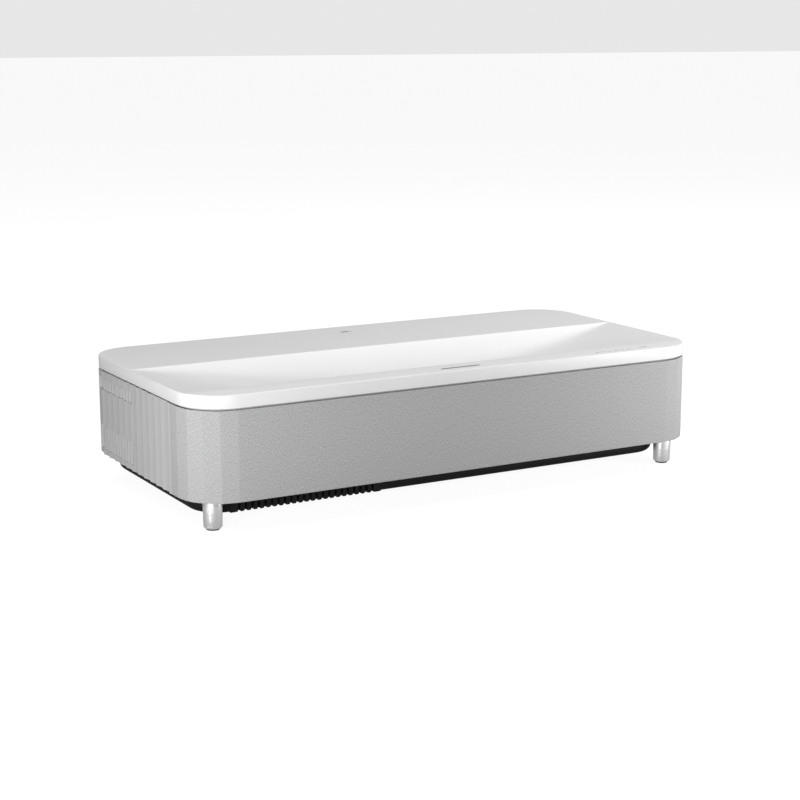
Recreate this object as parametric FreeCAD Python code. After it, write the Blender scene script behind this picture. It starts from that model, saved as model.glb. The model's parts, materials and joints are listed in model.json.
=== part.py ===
"""Ultra-short-throw laser home projector, as an assembly of separate pieces.

The projector is a long low box that stands in front of a wall and throws its picture back at that wall.
A white top cover with a fan-shaped trough lets the light out of a window that faces the wall. A grille
covered with cloth, with faceted corners, wraps the front, and louvred panels close the sides and the back.
A black base tray carries the optics, the boards and the speakers. It stands on two screw-out front feet
and two fixed rear feet.

Frame, in millimetres: origin at the centre of the footprint on the table, +X to the right of somebody
who faces the cloth front, +Y towards the wall, +Z up.
"""
import FreeCAD
import Part

import math
import os

V = FreeCAD.Vector

# ---------------------------------------------------------------- driving sizes
WIDTH = 695.0
DEPTH = 341.0
HEIGHT = 157.5
COVER_RADIUS = 54.0        # plan radius of the top cover's corners
BODY_RADIUS = 52.0         # circle that the faceted corners of the body are drawn on
FACETS = 4                 # flat facets in each corner of the body
RIM_HEIGHT = 15.2          # outer wall of the top cover
RIM_ROUND = 1.0            # edge round along the top of the rim
REVEAL = 2.0               # shadow gap under the top cover
BODY_BOTTOM = 35.0         # lower edge of the grille and the side panels
TRAY_BOTTOM = 12.0         # underside of the base tray
WALL = 3.0                 # moulded wall thickness
RUNNING = 0.08             # radial clearance of a shaft in its hole
PIN_RUN = 1.5              # radius of every small shaft and spindle

HALF_W = WIDTH / 2
HALF_D = DEPTH / 2
RIM_BOTTOM = HEIGHT - RIM_HEIGHT
BODY_TOP = RIM_BOTTOM - REVEAL

# Trough in the top cover
BAND_REAR = -133.2         # rear edge of the flat band along the front
CREASE_Y = 22.8            # where the ramp meets the flat rear deck
RAMP_SLOPE = 0.646         # the ramp falls this much for each mm towards the front
FLANK_SLOPE = 0.161        # the two flanks fall this much for each mm towards the middle
FLANK_EDGE = HALF_W - 1.2  # the flanks start just inside the rim's small edge round
VALLEY_STEPS = (0.25, 0.5, 0.75)   # slopes, as shares of the ramp's, of the facets that soften the valleys
VALLEY_SPREAD = 0.14       # half width of a softened valley for each mm from its corner
BEZEL_DROP = 4.0           # depth of the window bezel at its front edge
BEZEL_SLOPE = 0.40         # the bezel falls this much for each mm towards the wall
BEZEL_FRONT = -131.0
BEZEL_THICK = 2.6
BEZEL_GAP = 0.25           # gap all round the bezel
GLASS_Y = (-118.0, -58.0)  # front and rear edges of the window
GLASS_HALF = (112.0, 84.0)         # half widths of the window at those edges
LIGHT_HOLE = ((-134, -126), (134, -126), (92, -50), (-92, -50))    # hole in the cover under the bezel
BAND_INSET = (4.75, 7.4)   # outer and inner faces of the collar behind the shadow gap, from the outline

# Marks and lights on the cover
INLAY_DEPTH = 0.6
INLAY_PROUD = 0.05
PIPS = 6                   # small status lights in a row
PIP_START = 193.0
PIP_PITCH = 9.6
PIP_LENGTH = 6.2

# Front grille
GRILLE_CLOTH = 1.2         # thickness of the cloth
FRAME_INNER = 4.0          # inner face of the grille's frame, from the outline
SOUND_COLUMNS = 7          # openings in the frame before each driver
SOUND_ROWS = 5
SOUND_PITCH = (11.6, 14.0)
SOUND_HALF = (4.4, 5.4)    # half width and half height of one opening

# Side louvres and back
SEAM_Y = -99.5             # joint between the cloth grille and a side panel
SEAM_GAP = 0.3
PANEL_THICK = 4.6
TRIM = 8.0                 # plain strip of the side panel beside the seam
TRIM_SLANT = (0.8, 3.0)    # depth and width of the slant that leads from the seam up to the trim strip
SIDE_RIBS = 11             # ribs between the trim strip and the rear corner
RIB_STEP = 1.5             # how far each rib's rear edge stands proud of the next rib
RIB_SAG = 0.9              # hollow of each rib
VENT_RIB = 6               # the vent windows start at this rib
VENT_FACETS = 1            # and end after this many facets of the rear corner
UPPER_VENT = (117.0, 131.0)
LOWER_VENT = (42.0, 71.0)
BLADE = 1.4                # thickness of a vent blade
BLADE_SPAN = (0.42, 0.88)  # inner and outer edges of a blade, as shares of its pitch
BLADE_DEPTH = (3.2, 1.6)   # how far those edges lie inside the outline
FLUTES = 31
FLUTE_DEPTH = 1.2
REAR_SLOTS = 14
REAR_SLOT_START = -250.0
REAR_SLOT_PITCH = 12.0
REAR_SLOT_WIDTH = 5.0
REAR_SLOT_Z = (58.0, 108.0)

# Connector bay in the back
BAY_X = (16.0, 246.0)
BAY_Z = (52.0, 112.0)
BAY_FLOOR_Y = 146.0
BAY_WALL = 2.4
HDMI_X = (110.0, 134.0, 158.0)
HDMI_HALF = (7.9, 3.2)
USB_X = (184.0, 202.0)
USB_HALF = (7.3, 4.1)
INLET_X = 46.0
INLET_HALF = (14.0, 12.0)
OPTICAL_X = 226.0
OPTICAL_HALF = (5.0, 5.0)
PORT_Z = 80.0
PORT_GAP = 0.1             # the bay's holes are this much bigger than the sockets, on each side
SHEET = 0.5                # thickness of the sockets' sheet metal
BUTTON_RADIUS = 6.0
BUTTON_AT = (280.0, HALF_D - 8.0, 84.0)
BUTTON_COLLAR = 2.0        # how far the collar stands out round the key

# Base tray
TRAY_X = 325.0
TRAY_FRONT = -130.0
TRAY_REAR = 158.0
TRAY_RADIUS = 40.0
TRAY_EDGE = 8.0
TRAY_WALL = 2.6
PLATE = 3.0
PLATE_TOP = BODY_BOTTOM + PLATE
FLOOR = TRAY_BOTTOM + TRAY_WALL
BOSS_RADIUS = 5.0
SCREW_HEAD = 3.2
SCREW_SHANK = 1.55
SCREWS_AT = ((-300.0, 40.0), (-300.0, 96.0), (300.0, 40.0), (300.0, 96.0),
             (-120.0, 146.0), (120.0, 146.0), (40.0, -118.0), (250.0, -118.0))

# Filter drawer in the front left of the tray
DRAWER_X = (-290.0, -94.0)
DRAWER_REAR = -28.0
DRAWER_TOP = 30.0
DRAWER_GAP = 0.4
DRAWER_WALL = 3.0
DRAWER_EDGE = 2.5          # edge round along the bottom of the drawer's front
DRAWER_LIP = 34.0          # length of the lips that run on the tray's floor
LIP_REACH = 5.0            # how far the lips stick out at the sides
SLOT_PITCH = 8.2
SLOT_WIDTH = 3.2
SLOT_UNDER = 9.0           # how far each slot runs on under the drawer
PLEATS = 18
PLEAT_DEPTH = 2.6
FILTER_Y = (-112.0, -36.0)

# Feet
FOOT_X = 315.3
FOOT_Y = -139.5
FOOT_RADIUS = 11.3         # at the top: the barrel tapers by FOOT_TAPER towards the floor
FOOT_TAPER = 0.6
FOOT_CHAMFER = 1.4
STUD_RADIUS = 4.0
STUD_LENGTH = 26.0
BUSH_RADIUS = 8.0
PAD_HEIGHT = 1.8
PAD_INSET = 3.4            # the pad's radius is this much less than the barrel's
PIN_RADIUS = 3.0
REAR_FOOT = (268.0, 118.0)
REAR_FOOT_RADII = (13.0, 10.5, 9.5)    # top of the stem, foot of the stem, sole

# Optics, on the middle plane of the projector
AXIS_Z = 76.0              # height of the projection lens axis
LENS_Y = (-92.0, 41.9)
LENS_RADIUS = 33.0
LENS_BORE = LENS_RADIUS - 7.0
GLASS_RADIUS = LENS_BORE - 0.2
MIRROR_RADIUS = 118.0
MIRROR_THICK = 5.0
FOCUS_Y = -15.0            # middle of the focusing element at rest
FOCUS_TRAVEL_ROOM = 15.0   # half length of the barrel's slot, beyond the arm
FOCUS_BORE = 19.0
SCREW_Z = AXIS_Z + LENS_RADIUS + 5.0
CUBE_HALF = (16.0, 14.0)
CUBE_Y = (52.0, 84.0)
PANEL_GLASS = 3.5          # thickness of a light valve
HOUSING_X = (-70.0, 196.0)
HOUSING_Y = (42.0, 122.0)
HOUSING_Z = (44.0, 108.0)
HOUSING_WALL = 4.0
PIPE_X = 207.3
PIPE_RADIUS = 3.2
PIPES_Z = (58.0, 98.0)
FINS = 15
FIN_PITCH = 5.5
FIN_THICK = 1.4
WHEEL_AT = (130.0, 88.0, AXIS_Z)
WHEEL_RADIUS = 23.0

# Cooling
EXHAUST_AT = (-322.0, 72.0, 90.0)
INTAKE_AT = (322.0, 72.0, 90.0)
FAN_HALF = 40.0
FAN_DEPTH = 25.0
FAN_BORE = 37.0
FAN_ROTOR = 36.0
FAN_BLADES = 7
BLADE_PITCH_ANGLE = 28.0
FAN_LEG_REACH = 8.0        # the fan's legs stand this far outside its middle
BLOWER_AT = (-190.0, -16.0, 60.0)
BLOWER_RADIUS = 38.0
BLOWER_HALF = 14.0
BLOWER_WALL = 2.5
BLOWER_ROTOR = 31.0
BLOWER_VANES = 20

# Sound
DRIVER_X = 232.0
DRIVER_Z = 76.5
CONE_RADIUS = 31.0
CONE_DEPTH = 22.0
BOX_X = (DRIVER_X - 58.0, DRIVER_X + 62.0)
BOX_Y = (-162.0, -72.0)
BOX_WALL = 2.5

# Boards
BOARD = 1.6
MAIN_BOARD_X = (40.0, 250.0)
MAIN_BOARD_Y = (-36.0, 38.0)
MAIN_BOARD_Z = 46.0
POWER_BOARD_X = (-290.0, -84.0)
POWER_BOARD_Y = (30.0, 136.0)


# ---------------------------------------------------------------- helpers
def box(x, y, z):
    """Box between the given pairs of coordinates."""
    return Part.makeBox(x[1] - x[0], y[1] - y[0], z[1] - z[0], V(x[0], y[0], z[0]))


def rod(radius, start, axis, length):
    return Part.makeCylinder(radius, length, V(*start), V(*axis))


def tube(outer, inner, start, axis, length):
    return rod(outer, start, axis, length).cut(rod(inner, start, axis, length))


def prism(points, z):
    """Upright prism over a closed plan outline."""
    ring = [V(px, py, z[0]) for px, py in points]
    return Part.Face(Part.makePolygon(ring + [ring[0]])).extrude(V(0, 0, z[1] - z[0]))


def rounded_box(x, y, z, radius):
    """Box with its four upright edges rounded."""
    solid = box(x, y, z)
    upright = [e for e in solid.Edges if abs(e.tangentAt(e.FirstParameter).z) > 0.99]
    return solid.makeFillet(radius, upright)


def fuse(solids):
    whole = solids[0]
    if len(solids) > 1:
        whole = whole.multiFuse(solids[1:])
    return whole.removeSplitter()


def mirrored(shape):
    return shape.mirror(V(0, 0, 0), V(1, 0, 0))


def corner_point(centre, angle, inset=0.0):
    """Point on the circle of a body corner, angle in degrees from +X."""
    a = math.radians(angle)
    r = BODY_RADIUS - inset
    return (centre[0] + r * math.cos(a), centre[1] + r * math.sin(a))


def body_corner(side, end, inset=0.0):
    """Vertices of one faceted body corner, in counter-clockwise order. side and end are -1 or 1."""
    centre = (side * (HALF_W - BODY_RADIUS), end * (HALF_D - BODY_RADIUS))
    first = {(1, 1): 0, (-1, 1): 90, (-1, -1): 180, (1, -1): 270}[(side, end)]
    slack = inset / math.cos(math.radians(45.0 / FACETS))
    return [corner_point(centre, first + 90.0 * k / FACETS, slack) for k in range(FACETS + 1)]


def body_outline(inset):
    """Faceted plan outline of the body, moved in by inset."""
    points = []
    for side, end in ((1, 1), (-1, 1), (-1, -1), (1, -1)):
        points += body_corner(side, end, inset)
    return points


def half_space(point, normal, size=3000.0):
    """Big block that fills the side of a plane that normal points to."""
    block = Part.makeBox(size, size, size, V(-size / 2, -size / 2, 0))
    block.Placement = FreeCAD.Placement(V(*point), FreeCAD.Rotation(V(0, 0, 1), V(*normal)))
    return block


def fitting(radius, start, axis, length):
    """Hole cutter that gives a shaft of this radius its running clearance."""
    return rod(radius + RUNNING, start, axis, length)


# ---------------------------------------------------------------- top cover and window
def trough(below=0.0):
    """The open space of the trough, grown by below on its underside."""
    top = HEIGHT - below
    space = box((-HALF_W - 40, HALF_W + 40), (BAND_REAR - below, CREASE_Y + 60), (60, HEIGHT + 12))
    space = space.common(half_space((0, BEZEL_FRONT, top - BEZEL_DROP - BEZEL_THICK), (0, BEZEL_SLOPE, 1)))
    valley = FLANK_SLOPE / RAMP_SLOPE
    for side in (-1, 1):
        corner = (side * FLANK_EDGE, CREASE_Y, top)
        for share in VALLEY_STEPS:
            fall = share * RAMP_SLOPE
            start = valley + VALLEY_SPREAD * (1 - 2 * share)
            bend = (start - valley + VALLEY_SPREAD) ** 2 / (4 * VALLEY_SPREAD)
            depth = RAMP_SLOPE * (start - bend)
            space = space.common(half_space(corner, (-side * (depth - start * fall), -fall, 1)))
        space = space.common(half_space(corner, (-side * FLANK_SLOPE, 0, 1)))
    return space.common(half_space((0, CREASE_Y, top), (0, -RAMP_SLOPE, 1)))


def bezel_slab(clearance, top_drop=0.0, thick=BEZEL_THICK):
    """Slab of the window bezel between the flanks and the ramp."""
    surface = (0, BEZEL_FRONT, HEIGHT - BEZEL_DROP - top_drop)
    normal = (0, BEZEL_SLOPE, 1)
    lean = math.sqrt(1 + BEZEL_SLOPE ** 2)
    under = (0, BEZEL_FRONT, HEIGHT - BEZEL_DROP - top_drop - thick * lean)
    slab = half_space(under, normal).cut(half_space(surface, normal))
    return slab.common(trough(-clearance))


def window_pane(margin, z):
    """Upright prism over the glass, which is narrower towards the wall."""
    front, rear = GLASS_Y[0] - margin, GLASS_Y[1] + margin
    wide, narrow = GLASS_HALF[0] + margin, GLASS_HALF[1] + margin
    return prism([(-wide, front), (wide, front), (narrow, rear), (-narrow, rear)], z)


def top_cover():
    outer = rounded_box((-HALF_W, HALF_W), (-HALF_D, HALF_D), (RIM_BOTTOM, HEIGHT), COVER_RADIUS)
    rim_edges = [e for e in outer.Edges if e.BoundBox.ZMin > HEIGHT - 0.01]
    outer = outer.makeFillet(RIM_ROUND, rim_edges)
    inner = rounded_box((-HALF_W + WALL, HALF_W - WALL), (-HALF_D + WALL, HALF_D - WALL),
                        (RIM_BOTTOM - 1, HEIGHT - WALL), COVER_RADIUS - WALL)
    shell = outer.cut(inner)
    reach = (HALF_W - 0.5, HALF_D - 0.5)
    plan = rounded_box((-reach[0], reach[0]), (-reach[1], reach[1]), (80, HEIGHT - 1.5), COVER_RADIUS)
    skin = trough(below=WALL).common(plan)
    cover = shell.fuse(skin).cut(trough())
    light_hole = prism(LIGHT_HOLE, (80, HEIGHT))
    pockets = Part.makeCompound(indicator_lenses() + badge_inlays())
    return cover.cut(light_hole).removeSplitter().cut(pockets)


def window_bezel():
    slab = bezel_slab(BEZEL_GAP, thick=BEZEL_THICK - 0.4)
    return slab.cut(window_pane(0.0, (80, HEIGHT + 5)))


def projection_window():
    slab = bezel_slab(BEZEL_GAP, top_drop=0.5, thick=BEZEL_THICK - 0.9)
    return slab.common(window_pane(-0.2, (80, HEIGHT + 5)))


def reveal_band():
    """Collar behind the shadow gap, which carries the top cover."""
    low, high = BODY_TOP - 4.5, RIM_BOTTOM - 0.1
    outer, inner = BAND_INSET
    return prism(body_outline(outer), (low, high)).cut(prism(body_outline(inner), (low - 1, high + 1)))


# ---------------------------------------------------------------- marks and lights on the front band
def inlay(x, y, radius):
    """Flat lozenge let into the top of the cover."""
    return rounded_box(x, y, (HEIGHT - INLAY_DEPTH, HEIGHT + INLAY_PROUD), radius)


def indicator_lenses():
    """Row of status lights near the right end of the band."""
    pips = []
    for k in range(PIPS):
        x = PIP_START + PIP_PITCH * k
        pips.append(inlay((x, x + PIP_LENGTH), (-158.6, -156.4), 1.0))
    pips.append(inlay((262.5, 275.0), (-155.4, -152.6), 1.3))
    return pips


def badge_inlays():
    """Plain bars that stand where a maker would print a name: one on the band and two on the rear deck."""
    front = inlay((-27.0, 27.0), (-156.2, -151.8), 2.0)
    rear = inlay((-11.0, 0.5), (127.5, 132.5), 1.6)
    rear_dot = inlay((2.6, 5.2), (128.6, 131.2), 1.0)
    return [front, rear, rear_dot]


# ---------------------------------------------------------------- front grille
def grille_arc(inset):
    """Open outline of the grille from the left seam round the front to the right seam."""
    left = body_corner(-1, -1, inset)
    right = body_corner(1, -1, inset)
    return [(-HALF_W + inset, SEAM_Y)] + left + right + [(HALF_W - inset, SEAM_Y)]


def grille_band(outer, inner, z):
    return prism(grille_arc(outer) + grille_arc(inner)[::-1], z)


def grille_fabric():
    return grille_band(0.0, GRILLE_CLOTH, (BODY_BOTTOM, BODY_TOP))


def grille_frame():
    """Stiff band under the cloth, with openings before the two drivers."""
    frame = grille_band(GRILLE_CLOTH + 0.05, FRAME_INNER, (BODY_BOTTOM + 0.6, BODY_TOP - 0.6))
    y = (-HALF_D - 1, -HALF_D + 12)
    half_x, half_z = SOUND_HALF
    openings = []
    for side in (-1, 1):
        for column in range(SOUND_COLUMNS):
            for row in range(SOUND_ROWS):
                x = side * DRIVER_X + (column - SOUND_COLUMNS // 2) * SOUND_PITCH[0]
                z = DRIVER_Z + (row - SOUND_ROWS // 2) * SOUND_PITCH[1]
                openings.append(box((x - half_x, x + half_x), y, (z - half_z, z + half_z)))
    return frame.cut(Part.makeCompound(openings))


# ---------------------------------------------------------------- louvred side and rear panels
def lerp(a, b, t):
    return (a[0] + (b[0] - a[0]) * t, a[1] + (b[1] - a[1]) * t)


def unit(a, b):
    dx, dy = b[0] - a[0], b[1] - a[1]
    size = math.hypot(dx, dy)
    return (dx / size, dy / size)


def inward(point, normal, depth):
    return (point[0] - normal[0] * depth, point[1] - normal[1] * depth)


def side_stations():
    """Rib boundaries of the left side with their normals, from the front seam round the rear corner."""
    start = SEAM_Y + TRIM
    corner_y = HALF_D - BODY_RADIUS
    pitch = (corner_y - start) / SIDE_RIBS
    stations = [((-HALF_W, start + pitch * k), (-1.0, 0.0)) for k in range(SIDE_RIBS)]
    centre = (-HALF_W + BODY_RADIUS, corner_y)
    for k in range(FACETS + 1):
        angle = 180.0 - 90.0 * k / FACETS
        a = math.radians(angle)
        stations.append((corner_point(centre, angle), (math.cos(a), math.sin(a))))
    return stations


def rib_depth(t):
    """How far a rib's face lies inside the outline, at the share t of its width from the front."""
    return RIB_STEP * (1 - t) + RIB_SAG * 4 * t * (1 - t)


def rib_points(p0, n0, p1, n1):
    """One rib: recessed where it starts, proud where it ends, hollow in between."""
    start = inward(p0, n0, RIB_STEP)
    if n0 != n1:
        n = unit((0, 0), (n0[0] + n1[0], n0[1] + n1[1]))
        return [start, inward(lerp(p0, p1, 0.5), n, RIB_STEP / 2 + RIB_SAG * 0.4), p1]
    hollow = [inward(lerp(p0, p1, t), n0, rib_depth(t)) for t in (0.25, 0.5, 0.75)]
    return [start] + hollow + [p1]


def side_outline():
    stations = side_stations()
    seam = SEAM_Y + SEAM_GAP
    outer = [(-HALF_W + TRIM_SLANT[0], seam), (-HALF_W, seam + TRIM_SLANT[1]), stations[0][0]]
    for (p0, n0), (p1, n1) in zip(stations, stations[1:]):
        outer += rib_points(p0, n0, p1, n1)
    inner = body_corner(-1, 1, PANEL_THICK) + [(-HALF_W + PANEL_THICK, seam)]
    return outer + inner


def vent_stations():
    """Blade boundaries of the vent windows: two to each rib, round to the last facet they reach."""
    stations = side_stations()[VENT_RIB:SIDE_RIBS + 1 + VENT_FACETS]
    halves = []
    for (p0, n0), (p1, n1) in zip(stations, stations[1:]):
        halves.append((p0, n0))
        n = unit((0, 0), (n0[0] + n1[0], n0[1] + n1[1]))
        halves.append((lerp(p0, p1, 0.5), n))
    halves.append(stations[-1])
    return halves


def vent_window(z):
    """Cutter for one vent window, from its first rib to its last facet of the rear corner."""
    stations = vent_stations()
    outside = [inward(p, n, -8.0) for p, n in stations]
    inside = [inward(p, n, 9.0) for p, n in stations]
    return prism(outside + inside[::-1], z)


def vent_blades(z):
    """Slanted blades: the outer edge of each one is its rear edge, so nobody in front sees in."""
    blades = []
    stations = vent_stations()
    for (p0, n0), (p1, n1) in zip(stations, stations[1:]):
        inner = inward(lerp(p0, p1, BLADE_SPAN[0]), n0, BLADE_DEPTH[0])
        outer = inward(lerp(p0, p1, BLADE_SPAN[1]), n1, BLADE_DEPTH[1])
        along = unit(inner, outer)
        back = (-along[1] * BLADE, along[0] * BLADE)
        if back[0] * n0[0] + back[1] * n0[1] > 0:
            back = (-back[0], -back[1])
        blades.append(prism([inner, outer, (outer[0] + back[0], outer[1] + back[1]),
                             (inner[0] + back[0], inner[1] + back[1])], (z[0] - 0.2, z[1] + 0.2)))
    return blades


def left_side_panel():
    panel = prism(side_outline(), (BODY_BOTTOM, BODY_TOP))
    for z in (UPPER_VENT, LOWER_VENT):
        panel = panel.cut(vent_window(z))
        panel = fuse([panel] + vent_blades(z))
    return panel


def rear_panel():
    """Fluted back, with air slots, the opening of the connector bay and a guide hole for the power key."""
    right = HALF_W - BODY_RADIUS - SEAM_GAP
    pitch = 2 * right / FLUTES
    outer = [(-right, HALF_D)]
    for k in range(FLUTES):
        for t in (0.25, 0.5, 0.75, 1.0):
            outer.append((-right + pitch * (k + t), HALF_D - FLUTE_DEPTH * 4 * t * (1 - t)))
    inner = [(right, HALF_D - PANEL_THICK), (-right, HALF_D - PANEL_THICK)]
    panel = prism(outer + inner, (BODY_BOTTOM, BODY_TOP))
    y = (HALF_D - 10, HALF_D + 5)
    panel = panel.cut(box(BAY_X, y, BAY_Z))
    slots = []
    for k in range(REAR_SLOTS):
        x = REAR_SLOT_START + REAR_SLOT_PITCH * k
        slots.append(box((x, x + REAR_SLOT_WIDTH), y, REAR_SLOT_Z))
    return panel.cut(Part.makeCompound(slots)).cut(fitting(BUTTON_RADIUS, BUTTON_AT, (0, 1, 0), 12))


# ---------------------------------------------------------------- connector bay
def connector_bay():
    """Recessed tub behind the rear panel that holds the sockets."""
    x = (BAY_X[0] - BAY_WALL, BAY_X[1] + BAY_WALL)
    z = (BAY_Z[0] - BAY_WALL, BAY_Z[1] + BAY_WALL)
    tub = box(x, (BAY_FLOOR_Y - BAY_WALL, HALF_D - PANEL_THICK - 0.1), z)
    tub = tub.cut(box(BAY_X, (BAY_FLOOR_Y, HALF_D), BAY_Z))
    ports = [(c, HDMI_HALF) for c in HDMI_X] + [(c, USB_HALF) for c in USB_X]
    ports += [(INLET_X, INLET_HALF), (OPTICAL_X, OPTICAL_HALF)]
    y = (BAY_FLOOR_Y - 5, BAY_FLOOR_Y + 1)
    holes = []
    for c, (half_x, half_z) in ports:
        hx, hz = half_x + PORT_GAP, half_z + PORT_GAP
        holes.append(box((c - hx, c + hx), y, (PORT_Z - hz, PORT_Z + hz)))
    return tub.cut(Part.makeCompound(holes))


def socket(x, half, wall, depth):
    """Open metal shell of one socket, its mouth 1 mm proud of the bay floor."""
    hx, hz = half
    y = (BAY_FLOOR_Y + 1.0 - depth, BAY_FLOOR_Y + 1.0)
    shell = box((x - hx, x + hx), y, (PORT_Z - hz, PORT_Z + hz))
    hx, hz = hx - wall, hz - wall
    return shell.cut(box((x - hx, x + hx), (y[0] + wall, y[1] + 1), (PORT_Z - hz, PORT_Z + hz)))


def tongue(x, back, front, height):
    """Contact tongue inside a socket, between two depths below the bay floor."""
    low = PORT_Z + 0.4
    return box((x - 5.5, x + 5.5), (BAY_FLOOR_Y - back, BAY_FLOOR_Y - front), (low, low + height))


def hdmi_sockets():
    return [fuse([socket(x, HDMI_HALF, SHEET, 12.0), tongue(x, 10.6, 1.0, 1.1)]) for x in HDMI_X]


def usb_sockets():
    return [fuse([socket(x, USB_HALF, SHEET, 14.0), tongue(x, 12.6, 1.5, 1.8)]) for x in USB_X]


def mains_inlet():
    """Three-pin appliance inlet with its pins."""
    y = (BAY_FLOOR_Y - 19.5, BAY_FLOOR_Y - 4.0)
    pins = []
    for dx, dz in ((-7, -2), (0, 4), (7, -2)):
        x, z = INLET_X + dx, PORT_Z + dz
        pins.append(box((x - 1.0, x + 1.0), y, (z - 2.0, z + 2.0)))
    return fuse([socket(INLET_X, INLET_HALF, 2.0, 22.0)] + pins)


def optical_socket():
    return socket(OPTICAL_X, OPTICAL_HALF, 1.0, 12.0)


def power_button():
    """Round key in the rear panel with a collar behind it that keeps it in."""
    x, start, z = BUTTON_AT
    cap = rod(BUTTON_RADIUS, (x, start, z), (0, 1, 0), HALF_D - start)
    cap = cap.makeFillet(0.6, [e for e in cap.Edges if e.BoundBox.YMin > HALF_D - 0.01])
    collar = rod(BUTTON_RADIUS + BUTTON_COLLAR, (x, start - 0.6, z), (0, 1, 0), 2.0)
    return fuse([cap, collar])


# ---------------------------------------------------------------- base tray, drawer and feet
def tray_block(inset, z0, z1, edge):
    block = rounded_box((-TRAY_X + inset, TRAY_X - inset), (TRAY_FRONT + inset, TRAY_REAR - inset),
                        (z0, z1), TRAY_RADIUS - inset)
    bottom = [e for e in block.Edges if e.BoundBox.ZMax < z0 + 0.01]
    return block.makeFillet(edge, bottom)


def drawer_space(gap):
    """Space that the drawer takes up in the tray, grown by gap."""
    x = (DRAWER_X[0] - gap, DRAWER_X[1] + gap)
    return box(x, (TRAY_FRONT - 20, DRAWER_REAR + gap), (TRAY_BOTTOM - 5, DRAWER_TOP + gap))


def posts(spots, z, half=4.0):
    """Square columns that carry a piece on the tray."""
    return [box((x - half, x + half), (y - half, y + half), z) for x, y in spots]


def base_tray():
    """Black tray with a flat plate round its top, the screw bosses and the opening for the drawer."""
    outer = tray_block(0.0, TRAY_BOTTOM, PLATE_TOP, TRAY_EDGE)
    plate = prism(body_outline(PANEL_THICK + 0.4), (BODY_BOTTOM, PLATE_TOP))
    inner = tray_block(TRAY_WALL, FLOOR, PLATE_TOP + 5, TRAY_EDGE - TRAY_WALL)
    tray = outer.fuse(plate).cut(inner).cut(drawer_space(DRAWER_GAP))
    for side in (-1, 1):
        tray = tray.cut(rod(BUSH_RADIUS + 0.1, (side * FOOT_X, FOOT_Y, BODY_BOTTOM - 1), (0, 0, 1), 6))
    for x, y in SCREWS_AT:
        boss = rod(BOSS_RADIUS, (x, y, TRAY_BOTTOM + 1), (0, 0, 1), 16)
        counterbore = rod(SCREW_HEAD + 0.4, (x, y, TRAY_BOTTOM - 1), (0, 0, 1), 5)
        thread = rod(SCREW_SHANK + 0.05, (x, y, TRAY_BOTTOM + 2), (0, 0, 1), 16)
        tray = tray.fuse(boss).cut(counterbore).cut(thread)
    return tray.removeSplitter()


def case_screws():
    """Pan-head screws from below, sunk in the bosses of the tray."""
    z = (TRAY_BOTTOM, TRAY_BOTTOM + 2.8)
    screws = []
    for x, y in SCREWS_AT:
        head = rod(SCREW_HEAD, (x, y, TRAY_BOTTOM + 1.8), (0, 0, 1), 2.2)
        shank = rod(SCREW_SHANK, (x, y, TRAY_BOTTOM + 3.9), (0, 0, 1), 9)
        across = box((x - 2.0, x + 2.0), (y - 0.4, y + 0.4), z)
        along = box((x - 0.4, x + 0.4), (y - 2.0, y + 2.0), z)
        screws.append(fuse([head, shank]).cut(fuse([across, along])))
    return screws


def filter_drawer():
    """Comb-fronted drawer that holds the air filter and slides out to the front."""
    block = tray_block(0.0, TRAY_BOTTOM, PLATE_TOP, DRAWER_EDGE).common(drawer_space(0.0))
    x = (DRAWER_X[0] + DRAWER_WALL, DRAWER_X[1] - DRAWER_WALL)
    inside = box(x, (TRAY_FRONT + DRAWER_WALL + 1, DRAWER_REAR - DRAWER_WALL), (FLOOR, DRAWER_TOP + 5))
    drawer = block.cut(inside)
    reach = (DRAWER_X[0] - LIP_REACH, DRAWER_X[1] + LIP_REACH)
    lips = box(reach, (DRAWER_REAR - DRAWER_LIP, DRAWER_REAR), (FLOOR + 0.3, FLOOR + 2.3))
    drawer = drawer.fuse(lips.cut(box(DRAWER_X, (TRAY_FRONT, DRAWER_REAR + 1), (0, 40))))
    count = int((DRAWER_X[1] - DRAWER_X[0] - TRAY_EDGE) // SLOT_PITCH)
    first = (DRAWER_X[0] + DRAWER_X[1] - (count - 1) * SLOT_PITCH) / 2
    y = (TRAY_FRONT - 2, TRAY_FRONT + SLOT_UNDER)
    z = (TRAY_BOTTOM - 1, DRAWER_TOP - DRAWER_WALL)
    slots = []
    for k in range(count):
        x = first + SLOT_PITCH * k
        slots.append(box((x - SLOT_WIDTH / 2, x + SLOT_WIDTH / 2), y, z))
    return drawer.cut(Part.makeCompound(slots))


def air_filter():
    """Pleated filter block on the floor of the drawer."""
    x0, x1 = DRAWER_X[0] + 2 * DRAWER_WALL, DRAWER_X[1] - 2 * DRAWER_WALL
    pitch = (x1 - x0) / PLEATS
    low, high = FLOOR + 0.2, DRAWER_TOP - 1.5
    profile = [(x0, low)]
    for k in range(PLEATS):
        profile += [(x0 + pitch * k, high - PLEAT_DEPTH), (x0 + pitch * (k + 0.5), high)]
    profile += [(x1, high - PLEAT_DEPTH), (x1, low)]
    ring = [V(px, FILTER_Y[0], pz) for px, pz in profile]
    return Part.Face(Part.makePolygon(ring + [ring[0]])).extrude(V(0, FILTER_Y[1] - FILTER_Y[0], 0))


def foot_socket(side):
    """Flanged bush in the tray's plate that the foot screws into."""
    x, y = side * FOOT_X, FOOT_Y
    bush = rod(BUSH_RADIUS, (x, y, BODY_BOTTOM + 0.4), (0, 0, 1), 26)
    flange = rod(BUSH_RADIUS + 3.5, (x, y, PLATE_TOP + 0.1), (0, 0, 1), 2.6)
    return fuse([bush, flange]).cut(fitting(STUD_RADIUS, (x, y, BODY_BOTTOM - 1), (0, 0, 1), 40))


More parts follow.
